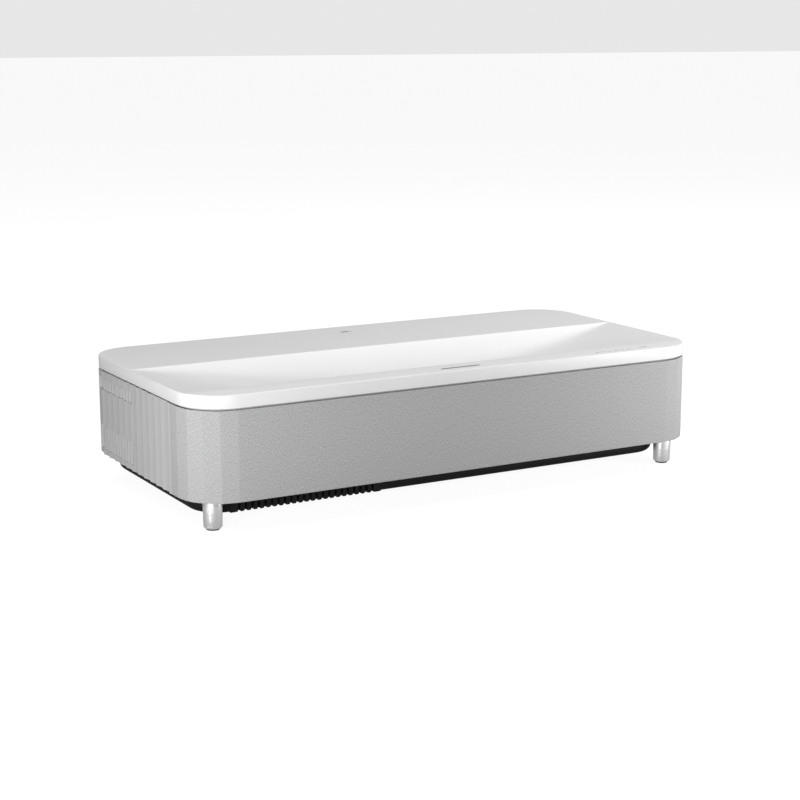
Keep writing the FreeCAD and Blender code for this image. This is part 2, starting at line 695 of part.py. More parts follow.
def foot_barrel(side):
    """Turned metal barrel of a front foot with its stud, and a blind hole for the pad's pin."""
    x, y = side * FOOT_X, FOOT_Y
    low = PAD_HEIGHT + 0.1
    height = BODY_BOTTOM - 0.5 - low
    barrel = Part.makeCone(FOOT_RADIUS - FOOT_TAPER, FOOT_RADIUS, height, V(x, y, low), V(0, 0, 1))
    rims = [e for e in barrel.Edges if e.BoundBox.ZMax < low + 0.01]
    barrel = barrel.makeChamfer(FOOT_CHAMFER, rims)
    stud = rod(STUD_RADIUS, (x, y, BODY_BOTTOM - 1.0), (0, 0, 1), STUD_LENGTH)
    return fuse([barrel, stud]).cut(fitting(PIN_RADIUS, (x, y, 0), (0, 0, 1), 12.2))


def foot_pad(side):
    """Swivelling pad on the floor, with the pin that the barrel turns on."""
    x, y = side * FOOT_X, FOOT_Y
    pad = rod(FOOT_RADIUS - PAD_INSET, (x, y, 0), (0, 0, 1), PAD_HEIGHT)
    pad = pad.makeFillet(0.5, [e for e in pad.Edges if e.BoundBox.ZMax < 0.01])
    return fuse([pad, rod(PIN_RADIUS, (x, y, PAD_HEIGHT - 0.5), (0, 0, 1), 8.5)])


def rear_foot(side):
    """Fixed rubber foot under the back of the tray."""
    x, y = side * REAR_FOOT[0], REAR_FOOT[1]
    upper, lower, sole_radius = REAR_FOOT_RADII
    stem = Part.makeCone(upper, lower, TRAY_BOTTOM - 2.0, V(x, y, TRAY_BOTTOM), V(0, 0, -1))
    return fuse([stem, rod(sole_radius, (x, y, 0), (0, 0, 1), 2.0)])


# ---------------------------------------------------------------- optics
def light_shroud():
    """Black chimney between the mirror and the window, open at the top and towards the lens."""
    outer = box((-137, 137), (-160, -44), (PLATE_TOP, HEIGHT))
    chimney = outer.cut(box((-134, 134), (-157, -47), (PLATE_TOP + WALL, HEIGHT + 5)))
    lid = (0, BEZEL_FRONT, HEIGHT - BEZEL_DROP - BEZEL_THICK - WALL - 1.2)
    chimney = chimney.cut(half_space(lid, (0, BEZEL_SLOPE, 1)))
    ceiling = box((-200, 200), (-200, -100), (HEIGHT - WALL - 0.8, HEIGHT + 20))
    ramp_under = half_space((0, CREASE_Y, HEIGHT - WALL * 1.25 - 1.0), (0, -RAMP_SLOPE, 1))
    chimney = chimney.cut(ceiling).cut(ramp_under)
    chimney = chimney.cut(rod(LENS_RADIUS + 1.0, (0, -60, AXIS_Z), (0, 1, 0), 40))
    return fuse([chimney] + posts([(-80, -56), (80, -56)], (FLOOR, PLATE_TOP + 1)))


def concave_mirror():
    """Curved mirror that folds the light up and back through the window."""
    centre = V(0, -44.0, 128.0)
    bowl = Part.makeSphere(MIRROR_RADIUS, centre).cut(Part.makeSphere(MIRROR_RADIUS - MIRROR_THICK, centre))
    block = box((-78, 78), (-157, -80), (41, 118))
    return bowl.common(block)


def lens_barrel():
    """Stepped barrel of the projection lens."""
    y0, y1 = LENS_Y
    steps = [rod(LENS_RADIUS, (0, y0 + 34, AXIS_Z), (0, 1, 0), y1 - y0 - 34),
             rod(LENS_RADIUS - 4.0, (0, y0, AXIS_Z), (0, 1, 0), 36),
             rod(LENS_RADIUS + 6.0, (0, y1 - 8, AXIS_Z), (0, 1, 0), 8)]
    barrel = fuse(steps).cut(rod(LENS_BORE, (0, y0 - 1, AXIS_Z), (0, 1, 0), y1 - y0 + 2))
    half = 6.0 + FOCUS_TRAVEL_ROOM
    slot = box((-4.2, 4.2), (FOCUS_Y - half, FOCUS_Y + half), (AXIS_Z + 20, AXIS_Z + LENS_RADIUS + 2))
    return barrel.cut(slot)


def lens_disc(y, radius, thick, bulge):
    """Biconvex element on the lens axis."""
    ball = (radius ** 2 + bulge ** 2) / (2 * bulge)
    body = rod(radius, (0, y - thick / 2 - bulge, AXIS_Z), (0, 1, 0), thick + 2 * bulge)
    front = Part.makeSphere(ball, V(0, y - thick / 2 - bulge + ball, AXIS_Z))
    back = Part.makeSphere(ball, V(0, y + thick / 2 + bulge - ball, AXIS_Z))
    return body.common(front).common(back)


def fixed_lenses():
    """Two elements at the mirror's end of the barrel and one at the other end."""
    places = [(LENS_Y[0] + 8, 4.0, 3.5), (LENS_Y[0] + 24, 3.0, 2.5), (LENS_Y[1] - 10, 4.0, 3.0)]
    return [lens_disc(y, GLASS_RADIUS, thick, bulge) for y, thick, bulge in places]


def focus_cell():
    """Ring that carries the focusing element, with an arm up through the barrel's slot to a nut."""
    ring = tube(LENS_BORE - 0.3, FOCUS_BORE, (0, FOCUS_Y - 6, AXIS_Z), (0, 1, 0), 12)
    arm = box((-3.6, 3.6), (FOCUS_Y - 5, FOCUS_Y + 5), (AXIS_Z + FOCUS_BORE + 1, SCREW_Z + 5.5))
    return fuse([ring, arm]).cut(fitting(PIN_RUN, (0, FOCUS_Y - 20, SCREW_Z), (0, 1, 0), 40))


def focus_lens():
    return lens_disc(FOCUS_Y, FOCUS_BORE - 0.1, 3.0, 3.5)


def focus_screw():
    """Lead screw of the focus drive."""
    spindle = rod(PIN_RUN, (0, FOCUS_Y - 16, SCREW_Z), (0, 1, 0), 50)
    stop = rod(2 * PIN_RUN, (0, FOCUS_Y - 16, SCREW_Z), (0, 1, 0), 2)
    return fuse([spindle, stop])


def focus_motor():
    """Can motor over the lens barrel that turns the lead screw."""
    can = rod(7.0, (0, FOCUS_Y + 26, SCREW_Z + 3.2), (0, 1, 0), 22)
    saddle = box((-8, 8), (FOCUS_Y + 26, FOCUS_Y + 34), (AXIS_Z + LENS_RADIUS - 0.5, SCREW_Z))
    saddle = saddle.cut(rod(LENS_RADIUS + 0.1, (0, 0, AXIS_Z), (0, 1, 0), 60))
    return fuse([can, saddle]).cut(fitting(PIN_RUN, (0, FOCUS_Y + 20, SCREW_Z), (0, 1, 0), 14.4))


def prism_block():
    """Cross-dichroic cube that joins the three colours."""
    half_x, half_z = CUBE_HALF
    return box((-half_x, half_x), CUBE_Y, (AXIS_Z - half_z, AXIS_Z + half_z))


def lcd_panels():
    """Three light valves, one on each open side of the cube."""
    half_x, half_z = CUBE_HALF
    z = (AXIS_Z - half_z + 1, AXIS_Z + half_z - 1)
    y = (CUBE_Y[0] + 1, CUBE_Y[1] - 1)
    near, far = half_x + 1, half_x + 1 + PANEL_GLASS
    rear = CUBE_Y[1] + 1
    return [box((-far, -near), y, z), box((near, far), y, z),
            box((1 - half_x, half_x - 1), (rear, rear + PANEL_GLASS), z)]


def optics_housing():
    """Cast housing round the cube and the light path from the source."""
    wall = HOUSING_WALL
    y = (HOUSING_Y[0] + wall, HOUSING_Y[1] - wall)
    z = (HOUSING_Z[0] + wall, HOUSING_Z[1] - wall)
    housing = box(HOUSING_X, HOUSING_Y, HOUSING_Z)
    split = 66
    housing = housing.cut(box((HOUSING_X[0] + wall, split), y, z))
    housing = housing.cut(box((split + wall, HOUSING_X[1] - wall), y, z))
    light_way = box((60, 76), (94, 114), (AXIS_Z - 12, AXIS_Z + 12))
    laser_way = box((188, 200), (52, 116), (AXIS_Z - 20, AXIS_Z + 20))
    lens_way = rod(24.0, (0, HOUSING_Y[0] - 4, AXIS_Z), (0, 1, 0), 12)
    housing = housing.cut(light_way).cut(laser_way).cut(lens_way)
    return fuse([housing] + posts([(px, py) for px in (-60, 60, 186) for py in (52, 114)], (FLOOR, z[0])))


def laser_module():
    """Blue laser bank on a copper plate at the right end of the housing."""
    x = HOUSING_X[1] + 1
    plate = box((x, x + 6), (48, 120), (HOUSING_Z[0] + 4, HOUSING_Z[1] - 4))
    cans = [rod(4.5, (x, y, z), (-1, 0, 0), 5.5) for y in (70, 87, 104) for z in (AXIS_Z - 8, AXIS_Z + 8)]
    return fuse([plate] + cans)


def laser_heatsink():
    """Finned block beside the laser plate."""
    z = (36, 118)
    block = [box((HOUSING_X[1] + 7.1, 211.5), (46, 128), z)]
    for k in range(FINS):
        y = 46 + FIN_PITCH * k
        block.append(box((211, 262), (y, y + FIN_THICK), z))
    block = fuse(block)
    for height in PIPES_Z:
        block = block.cut(rod(PIPE_RADIUS + 0.1, (PIPE_X, 40, height), (0, 1, 0), 100))
    return block


def heat_pipes():
    return [rod(PIPE_RADIUS, (PIPE_X, 44, z), (0, 1, 0), 86) for z in PIPES_Z]


def phosphor_wheel():
    """Thin disc that turns the blue light yellow, on its hub."""
    x, y, z = WHEEL_AT
    disc = rod(WHEEL_RADIUS, (x, y, z), (1, 0, 0), 1.0)
    hub = rod(6.0, (x - 2.0, y, z), (1, 0, 0), 5.0)
    marker = box((x + 0.5, x + 1.6), (y - 1.0, y + 1.0), (z + 8, z + 14))
    return fuse([disc, hub, marker]).cut(fitting(PIN_RUN, (x - 5, y, z), (1, 0, 0), 6.5))


def wheel_motor():
    """Spindle motor of the phosphor wheel, bolted to the housing floor by a bracket."""
    x, y, z = WHEEL_AT
    can = rod(9.0, (x - 16, y, z), (1, 0, 0), 13)
    pin = rod(PIN_RUN, (x - 4, y, z), (1, 0, 0), 5.2)
    bracket = box((x - 15, x - 11), (y - 9, y + 9), (HOUSING_Z[0] + 4.1, z))
    return fuse([can, pin, bracket])


# ---------------------------------------------------------------- cooling
def fan_frame(centre):
    """Square frame of an axial fan whose axis is along X, with its hub, struts, pin and legs."""
    x, y, z = centre
    half, reach = FAN_HALF, FAN_HALF - 1
    back, front = x - FAN_DEPTH / 2, x + FAN_DEPTH / 2
    frame = box((back, front), (y - half, y + half), (z - half, z + half))
    frame = frame.cut(rod(FAN_BORE, (back - 1, y, z), (1, 0, 0), FAN_DEPTH + 2))
    hub = rod(12.0, (front - 3, y, z), (1, 0, 0), 3.0)
    struts = [box((front - 3, front), (y - reach, y + reach), (z - 1.5, z + 1.5)),
              box((front - 3, front), (y - 1.5, y + 1.5), (z - reach, z + reach))]
    pin = rod(PIN_RUN, (back + 4, y, z), (1, 0, 0), FAN_DEPTH - 6)
    outer = x + math.copysign(FAN_LEG_REACH, x)
    legs = posts([(outer, y - 30), (outer, y + 30)], (PLATE_TOP, z - reach))
    return fuse([frame, hub, pin] + struts + legs)


def impeller(centre):
    """Bladed rotor on the fan's pin."""
    x, y, z = centre
    low, high = x - FAN_DEPTH / 2 + 2.0, x + FAN_DEPTH / 2 - 4.5
    hub = rod(13.0, (low, y, z), (1, 0, 0), high - low)
    blade = box((low + 1, high - 1), (y + 11, y + FAN_ROTOR), (z - 0.9, z + 0.9))
    blades = []
    for k in range(FAN_BLADES):
        one = blade.copy()
        one.rotate(V((low + high) / 2, y + FAN_ROTOR / 2, z), V(0, 1, 0), BLADE_PITCH_ANGLE)
        one.rotate(V(x, y, z), V(1, 0, 0), 360.0 * k / FAN_BLADES)
        blades.append(one)
    rotor = fuse([hub] + blades).common(rod(FAN_ROTOR, (low, y, z), (1, 0, 0), high - low))
    return rotor.cut(fitting(PIN_RUN, (x - FAN_DEPTH, y, z), (1, 0, 0), 2 * FAN_DEPTH))


def blower_shape(inset):
    """Snail shape of the blower, a round chamber with a nozzle towards +X, moved in by inset."""
    x, y, z = BLOWER_AT
    radius, half = BLOWER_RADIUS - inset, BLOWER_HALF - inset
    chamber = rod(radius, (x, y, z - half), (0, 0, 1), 2 * half)
    nozzle = box((x, x + 60 + inset), (y + 6 + inset, y + radius), (z - half, z + half))
    return fuse([chamber, nozzle])


def blower_housing():
    """Housing of the blower that draws air up through the filter."""
    x, y, z = BLOWER_AT
    housing = blower_shape(0.0).cut(blower_shape(BLOWER_WALL))
    housing = housing.cut(rod(24.0, (x, y, z - 20), (0, 0, 1), 14))
    legs = posts([(x - 30, y + 8), (x + 30, y + 8)], (FLOOR, z - BLOWER_HALF + 0.1))
    pin = rod(PIN_RUN, (x, y, z - 10), (0, 0, 1), 23)
    return fuse([housing, pin] + legs)


def blower_wheel():
    """Drum rotor with upright vanes on the blower's pin."""
    x, y, z = BLOWER_AT
    hub = rod(12.0, (x, y, z - 8), (0, 0, 1), 17)
    disc = rod(BLOWER_ROTOR, (x, y, z + 6), (0, 0, 1), 2)
    vanes = []
    for k in range(BLOWER_VANES):
        vane = box((x + BLOWER_ROTOR - 6, x + BLOWER_ROTOR), (y - 0.6, y + 0.6), (z - 10, z + 7))
        vane.rotate(V(x, y, z), V(0, 0, 1), 360.0 * k / BLOWER_VANES)
        vanes.append(vane)
    return fuse([hub, disc] + vanes).cut(fitting(PIN_RUN, (x, y, z - 20), (0, 0, 1), 40))


# ---------------------------------------------------------------- sound
def speaker_box(side):
    """Sealed box behind the grille with the driver's basket in its front wall."""
    x = sorted(side * edge for edge in BOX_X)
    y = BOX_Y
    z = (PLATE_TOP + 0.1, BODY_TOP - 26)
    wall = BOX_WALL
    room = box((x[0] + wall, x[1] - wall), (y[0] + wall, y[1] - wall), (z[0] + wall, z[1] - wall))
    cabinet = box(x, y, z).cut(room)
    cx = side * DRIVER_X
    mouth = rod(CONE_RADIUS + 1.5, (cx, y[0] - 1, DRIVER_Z), (0, 1, 0), 6)
    ring = tube(CONE_RADIUS + 4.0, CONE_RADIUS + 1.0, (cx, y[0] - 3.0, DRIVER_Z), (0, 1, 0), 5.5)
    magnet = rod(17.0, (cx, y[0] + 36, DRIVER_Z), (0, 1, 0), 16)
    frame = [box((cx - 36, cx + 36), (y[0] + 36, y[0] + 41), (DRIVER_Z - 3, DRIVER_Z + 3))]
    for end in (-1, 1):
        leg = sorted((cx + end * 33, cx + end * 36))
        frame.append(box(leg, (y[0] + 0.5, y[0] + 40), (DRIVER_Z - 3, DRIVER_Z + 3)))
    return fuse([cabinet.cut(mouth), ring, magnet] + frame)


def speaker_cone(side):
    """Cone with its dust cap and voice coil."""
    cx, y, z = side * DRIVER_X, BOX_Y[0], DRIVER_Z
    outer = Part.makeCone(CONE_RADIUS - 1.0, 9.0, CONE_DEPTH, V(cx, y - 1.0, z), V(0, 1, 0))
    inner = Part.makeCone(CONE_RADIUS - 2.4, 7.6, CONE_DEPTH, V(cx, y - 1.6, z), V(0, 1, 0))
    around = box((cx - 12, cx + 12), (y + 8, y + 20.6), (z - 12, z + 12))
    cap = Part.makeSphere(13.0, V(cx, y + 24.0, z)).common(around)
    coil = tube(9.0, 7.8, (cx, y + 19.0, z), (0, 1, 0), 12)
    return fuse([outer.cut(inner), cap, coil])


# ---------------------------------------------------------------- boards
def board(x, y, z, blocks):
    """Circuit board with its tallest parts, each given as (x, y, width, depth, height)."""
    parts = [box(x, y, (z, z + BOARD))]
    face = z + BOARD
    for left, front, width, depth, height in blocks:
        parts.append(box((left, left + width), (front, front + depth), (face - 0.1, face + height)))
    return fuse(parts)


def board_posts(x, y, z):
    """Four columns under the corners of a board."""
    spots = [(px, py) for px in (x[0] + 6, x[1] - 6) for py in (y[0] + 6, y[1] - 6)]
    return posts(spots, (FLOOR, z + 0.5), 3.0)


def main_board():
    chips = [(100, 20, 26, 14, 3), (140, -4, 30, 22, 7), (180, 4, 18, 24, 3), (60, -10, 22, 22, 5),
             (214, -6, 14, 34, 6), (86, -30, 12, 8, 9)]
    made = board(MAIN_BOARD_X, MAIN_BOARD_Y, MAIN_BOARD_Z, chips)
    return fuse([made] + board_posts(MAIN_BOARD_X, MAIN_BOARD_Y, MAIN_BOARD_Z))


def power_board():
    blocks = [(-284, 40, 30, 30, 32), (-252, 34, 18, 24, 26), (-226, 36, 20, 20, 30), (-196, 60, 46, 34, 34),
              (-276, 104, 70, 24, 22), (-140, 100, 30, 20, 28), (-244, 70, 40, 26, 20)]
    made = board(POWER_BOARD_X, POWER_BOARD_Y, FLOOR + 5.0, blocks)
    return fuse([made] + board_posts(POWER_BOARD_X, POWER_BOARD_Y, FLOOR + 5.0))


# ---------------------------------------------------------------- the whole projector
def build():
    left_panel = left_side_panel()
    return {
        "top_cover": [top_cover()],
        "window_bezel": [window_bezel()],
        "projection_window": [projection_window()],
        "reveal_band": [reveal_band()],
        "indicator_lenses": indicator_lenses(),
        "badge_inlays": badge_inlays(),
        "grille_fabric": [grille_fabric()],
        "grille_frame": [grille_frame()],
        "left_side_panel": [left_panel],
        "right_side_panel": [mirrored(left_panel)],
        "rear_panel": [rear_panel()],
        "connector_bay": [connector_bay()],
        "hdmi_sockets": hdmi_sockets(),
        "usb_sockets": usb_sockets(),
        "mains_inlet": [mains_inlet()],
        "optical_socket": [optical_socket()],
        "power_button": [power_button()],
        "base_tray": [base_tray()],
        "case_screws": case_screws(),
        "filter_drawer": [filter_drawer()],
        "air_filter": [air_filter()],
        "foot_sockets": [foot_socket(-1), foot_socket(1)],
        "left_foot_barrel": [foot_barrel(-1)],
        "right_foot_barrel": [foot_barrel(1)],
        "left_foot_pad": [foot_pad(-1)],
        "right_foot_pad": [foot_pad(1)],
        "left_rear_foot": [rear_foot(-1)],
        "right_rear_foot": [rear_foot(1)],
        "light_shroud": [light_shroud()],
        "concave_mirror": [concave_mirror()],
        "lens_barrel": [lens_barrel()],
        "fixed_lenses": fixed_lenses(),
        "focus_cell": [focus_cell()],
        "focus_lens": [focus_lens()],
        "focus_screw": [focus_screw()],
        "focus_motor": [focus_motor()],
        "prism_block": [prism_block()],
        "lcd_panels": lcd_panels(),
        "optics_housing": [optics_housing()],
        "laser_module": [laser_module()],
        "laser_heatsink": [laser_heatsink()],
        "heat_pipes": heat_pipes(),
        "phosphor_wheel": [phosphor_wheel()],
        "wheel_motor": [wheel_motor()],
        "exhaust_fan_frame": [fan_frame(EXHAUST_AT)],
        "exhaust_impeller": [impeller(EXHAUST_AT)],
        "intake_fan_frame": [fan_frame(INTAKE_AT)],
        "intake_impeller": [impeller(INTAKE_AT)],
        "blower_housing": [blower_housing()],
        "blower_wheel": [blower_wheel()],
        "left_speaker_box": [speaker_box(-1)],
        "right_speaker_box": [speaker_box(1)],
        "left_speaker_cone": [speaker_cone(-1)],
        "right_speaker_cone": [speaker_cone(1)],
        "main_board": [main_board()],
        "power_board": [power_board()],
    }


def save(node, shapes):
    solids = [s for shape in shapes for s in shape.Solids]
    whole = solids[0] if len(solids) == 1 else Part.makeCompound(solids)
    if not whole.isValid():
        print("not valid:", node)
    whole.exportStep(os.path.join("parts", node + ".step"))
    print(node, len(solids), "solid(s)", round(sum(s.Volume for s in solids) / 1000.0, 1), "cm3")


os.makedirs("parts", exist_ok=True)
for node, shapes in build().items():
    save(node, shapes)
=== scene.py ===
import json
import math

import bmesh
import bpy
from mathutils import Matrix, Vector


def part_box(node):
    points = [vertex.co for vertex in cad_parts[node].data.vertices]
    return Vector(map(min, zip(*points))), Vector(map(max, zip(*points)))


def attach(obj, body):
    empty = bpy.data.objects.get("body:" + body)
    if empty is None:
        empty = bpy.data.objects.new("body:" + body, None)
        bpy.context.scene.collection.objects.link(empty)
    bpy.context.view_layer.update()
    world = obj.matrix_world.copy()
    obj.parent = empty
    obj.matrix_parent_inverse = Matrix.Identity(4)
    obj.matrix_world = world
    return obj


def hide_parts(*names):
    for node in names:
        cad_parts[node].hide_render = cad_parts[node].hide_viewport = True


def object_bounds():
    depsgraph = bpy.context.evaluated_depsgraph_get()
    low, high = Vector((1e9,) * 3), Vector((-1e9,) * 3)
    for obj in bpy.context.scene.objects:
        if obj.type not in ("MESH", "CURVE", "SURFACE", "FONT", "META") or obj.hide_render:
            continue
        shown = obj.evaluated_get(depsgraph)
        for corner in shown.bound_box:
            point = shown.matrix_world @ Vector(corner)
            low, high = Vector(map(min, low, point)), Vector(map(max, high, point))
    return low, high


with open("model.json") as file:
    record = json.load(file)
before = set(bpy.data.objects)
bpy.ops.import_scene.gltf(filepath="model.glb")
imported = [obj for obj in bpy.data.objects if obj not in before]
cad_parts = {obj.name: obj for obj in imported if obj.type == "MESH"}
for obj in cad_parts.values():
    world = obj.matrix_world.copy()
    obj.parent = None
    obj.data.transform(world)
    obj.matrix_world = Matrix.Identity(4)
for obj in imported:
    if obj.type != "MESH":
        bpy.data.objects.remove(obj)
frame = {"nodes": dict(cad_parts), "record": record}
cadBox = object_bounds()
print("frame loaded")

mm = 0.001
low, high = cadBox
halfWidth = (high[0] - low[0]) / 2
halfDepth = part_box("top_cover")[1][1]
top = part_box("top_cover")[1][2]
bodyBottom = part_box("rear_panel")[0][2]
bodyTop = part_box("rear_panel")[1][2]

coverShape = {
    "radius": 54 * mm, "edge": 1.0 * mm, "edgeSteps": 4, "rim": 15.2 * mm, "rimEdge": 0.5 * mm,
    "wall": 2.6 * mm, "skirt": 6 * mm,  # the wall's return under the rim
    "bandRear": -133.2 * mm, "creaseY": 22.8 * mm,  # front and rear ends of the dip
    "rampSlope": 0.646, "flankSlope": 0.161, "spread": 0.17,  # the dip's faces, and how softly they meet
    "bezelFront": -131 * mm, "bezelDrop": 6.6 * mm, "bezelSlope": 0.40,  # seat of the window's surround
    "holeHalf": (134 * mm, 92 * mm), "holeY": (-126 * mm, -50 * mm),  # opening under the surround
    "columns": 150, "rows": 64, "deckSteps": 24, "bandSteps": 18,
}
bodyShape = {"radius": 52 * mm, "facets": 4, "seamY": -99.5 * mm, "trim": 8 * mm}
quarter = math.pi / 2
tiny = 1e-6


# materials
def newMaterial(name):
    material = bpy.data.materials.new(name)
    material.use_nodes = True
    tree = material.node_tree
    return material, tree.nodes, tree.links, tree.nodes["Principled BSDF"]


def addNode(nodes, kind, **values):
    node = nodes.new(kind)
    for key, value in values.items():
        if key in node.inputs:
            node.inputs[key].default_value = value
        else:
            setattr(node, key, value)
    return node


def objectCoordinates(nodes):
    return nodes.new("ShaderNodeTexCoord").outputs["Object"]


def paintBetween(nodes, links, amount, dark, light, stops=(0.0, 1.0)):
    ramp = nodes.new("ShaderNodeValToRGB")
    for element, color, stop in zip(ramp.color_ramp.elements, (dark, light), stops):
        element.position = stop
        element.color = [*color, 1]
    links.new(amount, ramp.inputs["Fac"])
    links.new(ramp.outputs["Color"], nodes["Principled BSDF"].inputs["Base Color"])


plasticGrain = {"scale": 2600.0, "depth": 0.4 * mm, "cloudScale": 14.0, "mottle": 0.02}


def mouldedPlastic(name, color, roughness, grain=0.04, shine=0.4):
    material, nodes, links, shader = newMaterial(name)
    shader.inputs["Roughness"].default_value = roughness
    shader.inputs["Specular IOR Level"].default_value = shine
    place = objectCoordinates(nodes)
    speckle = addNode(nodes, "ShaderNodeTexNoise", Scale=plasticGrain["scale"], Detail=3.0)
    links.new(place, speckle.inputs["Vector"])
    bump = addNode(nodes, "ShaderNodeBump", Strength=grain, Distance=plasticGrain["depth"])
    links.new(speckle.outputs["Fac"], bump.inputs["Height"])
    links.new(bump.outputs["Normal"], shader.inputs["Normal"])
    cloud = addNode(nodes, "ShaderNodeTexNoise", Scale=plasticGrain["cloudScale"], Detail=2.0)
    links.new(place, cloud.inputs["Vector"])
    dark, light = [[tone * (1 + sign * plasticGrain["mottle"]) for tone in color] for sign in (-1, 1)]
    paintBetween(nodes, links, cloud.outputs["Fac"], dark, light)
    return material


def turnedMetal(name, color, roughness, streak=0.10, scale=(30.0, 30.0, 4000.0), groove=0.0):
    material, nodes, links, shader = newMaterial(name)
    shader.inputs["Metallic"].default_value = 1.0
    shader.inputs["Base Color"].default_value = (*color, 1)
    place = nodes.new("ShaderNodeMapping")
    place.inputs["Scale"].default_value = scale
    links.new(objectCoordinates(nodes), place.inputs["Vector"])
    lines = addNode(nodes, "ShaderNodeTexNoise", Scale=1.0, Detail=4.0)
    links.new(place.outputs["Vector"], lines.inputs["Vector"])
    spread = addNode(nodes, "ShaderNodeMapRange")
    spread.inputs["To Min"].default_value = roughness - streak
    spread.inputs["To Max"].default_value = roughness + streak
    links.new(lines.outputs["Fac"], spread.inputs["Value"])
    links.new(spread.outputs["Result"], shader.inputs["Roughness"])
    grooves = addNode(nodes, "ShaderNodeBump", Strength=1.0, Distance=groove)
    links.new(lines.outputs["Fac"], grooves.inputs["Height"])
    links.new(grooves.outputs["Normal"], shader.inputs["Normal"])
    return material


def clearGlass(name, tint, transmission, roughness, coat=0.0):
    material, nodes, links, shader = newMaterial(name)
    shader.inputs["Transmission Weight"].default_value = transmission
    shader.inputs["IOR"].default_value = 1.5
    shader.inputs["Coat Weight"].default_value = coat
    shader.inputs["Roughness"].default_value = roughness
    haze = addNode(nodes, "ShaderNodeTexNoise", Scale=60.0)
    links.new(objectCoordinates(nodes), haze.inputs["Vector"])
    paintBetween(nodes, links, haze.outputs["Fac"], [tone * 0.96 for tone in tint], tint)
    return material


weave = {
    "pitch": 0.9 * mm, "slub": 0.45, "roughness": 0.95, "shine": 0.15, "sheen": 0.08, "sheenRoughness": 0.6,
    "dark": (0.25, 0.25, 0.253), "light": (0.60, 0.60, 0.606), "stops": (0.30, 0.72),
    "relief": 0.35, "depth": 0.3 * mm,
}


def wovenCloth(name):
    material, nodes, links, shader = newMaterial(name)
    shader.inputs["Roughness"].default_value = weave["roughness"]
    shader.inputs["Specular IOR Level"].default_value = weave["shine"]
    shader.inputs["Sheen Weight"].default_value = weave["sheen"]
    shader.inputs["Sheen Roughness"].default_value = weave["sheenRoughness"]
    flat = nodes.new("ShaderNodeUVMap")
    flat.uv_map = "cut"
    threads = []
    for turn in (0.0, quarter):  # warp and weft
        place = nodes.new("ShaderNodeMapping")
        place.inputs["Rotation"].default_value = (0, 0, turn)
        place.inputs["Scale"].default_value = (1 / weave["pitch"], weave["slub"] / weave["pitch"], 1)
        links.new(flat.outputs["UV"], place.inputs["Vector"])
        yarn = addNode(nodes, "ShaderNodeTexNoise", Scale=1.0, Detail=2.0, Roughness=0.6)
        links.new(place.outputs["Vector"], yarn.inputs["Vector"])
        threads.append(yarn.outputs["Fac"])
    both = nodes.new("ShaderNodeMath")
    both.operation = "ADD"
    links.new(threads[0], both.inputs[0])
    links.new(threads[1], both.inputs[1])
    half = nodes.new("ShaderNodeMath")
    half.operation = "MULTIPLY"
    half.inputs[1].default_value = 0.5
    links.new(both.outputs[0], half.inputs[0])
    paintBetween(nodes, links, half.outputs[0], weave["dark"], weave["light"], weave["stops"])
    bump = addNode(nodes, "ShaderNodeBump", Strength=weave["relief"], Distance=weave["depth"])
    links.new(half.outputs[0], bump.inputs["Height"])
    links.new(bump.outputs["Normal"], shader.inputs["Normal"])
    return material


def printedBoard(name, dark, light):
    material, nodes, links, shader = newMaterial(name)
    shader.inputs["Roughness"].default_value = 0.4
    cells = addNode(nodes, "ShaderNodeTexVoronoi", Scale=160.0, distance="MANHATTAN")
    links.new(objectCoordinates(nodes), cells.inputs["Vector"])
    paintBetween(nodes, links, cells.outputs["Distance"], dark, light)
    return material


whiteShell = mouldedPlastic("whiteShell", (0.80, 0.80, 0.80), 0.42)
# light grey for the louvred sides and the fluted back; it is partly painted shade, a darker copy of the
# white shell that matches the shade on the sides
sideShellPaintedShade = mouldedPlastic("sideShellPaintedShade", (0.47, 0.47, 0.475), 0.5)
revealGrey = mouldedPlastic("revealGrey", (0.42, 0.42, 0.42), 0.6)
mattBlack = mouldedPlastic("mattBlack", (0.004, 0.004, 0.0045), 0.6, grain=0.08, shine=0.2)
glossBlack = mouldedPlastic("glossBlack", (0.008, 0.008, 0.009), 0.12, grain=0.0)
softRubber = mouldedPlastic("softRubber", (0.018, 0.018, 0.018), 0.85, grain=0.2)
markGrey = mouldedPlastic("markGrey", (0.17, 0.17, 0.18), 0.5)
lightLens = mouldedPlastic("lightLens", (0.38, 0.38, 0.39), 0.3)
keyGrey = mouldedPlastic("keyGrey", (0.62, 0.62, 0.63), 0.3)
conePaper = mouldedPlastic("conePaper", (0.03, 0.03, 0.03), 0.8, grain=0.5)
fleece = mouldedPlastic("fleece", (0.62, 0.62, 0.58), 0.95, grain=0.8)
phosphorCoat = mouldedPlastic("phosphorCoat", (0.80, 0.65, 0.08), 0.5)
footMetal = turnedMetal("footMetal", (0.96, 0.96, 0.96), 0.34, streak=0.04, groove=0.0002)
castAlloy = turnedMetal("castAlloy", (0.62, 0.63, 0.64), 0.45, scale=(300.0, 300.0, 300.0))
plated = turnedMetal("plated", (0.72, 0.72, 0.73), 0.2, streak=0.05, scale=(500.0, 500.0, 500.0))
darkSteel = turnedMetal("darkSteel", (0.10, 0.10, 0.10), 0.4, scale=(500.0, 500.0, 500.0))
copperTone = turnedMetal("copperTone", (0.80, 0.42, 0.27), 0.3, scale=(300.0, 300.0, 300.0))
mirrorFace = turnedMetal("mirrorFace", (0.90, 0.90, 0.91), 0.04, streak=0.02, scale=(20.0, 20.0, 20.0))
windowGlass = clearGlass("windowGlass", (0.55, 0.60, 0.66), 0.85, 0.02, coat=0.5)
lensGlass = clearGlass("lensGlass", (0.80, 0.88, 0.92), 0.95, 0.01, coat=0.3)
grilleCloth = wovenCloth("grilleCloth")
boardGreen = printedBoard("boardGreen", (0.02, 0.13, 0.06), (0.05, 0.22, 0.10))

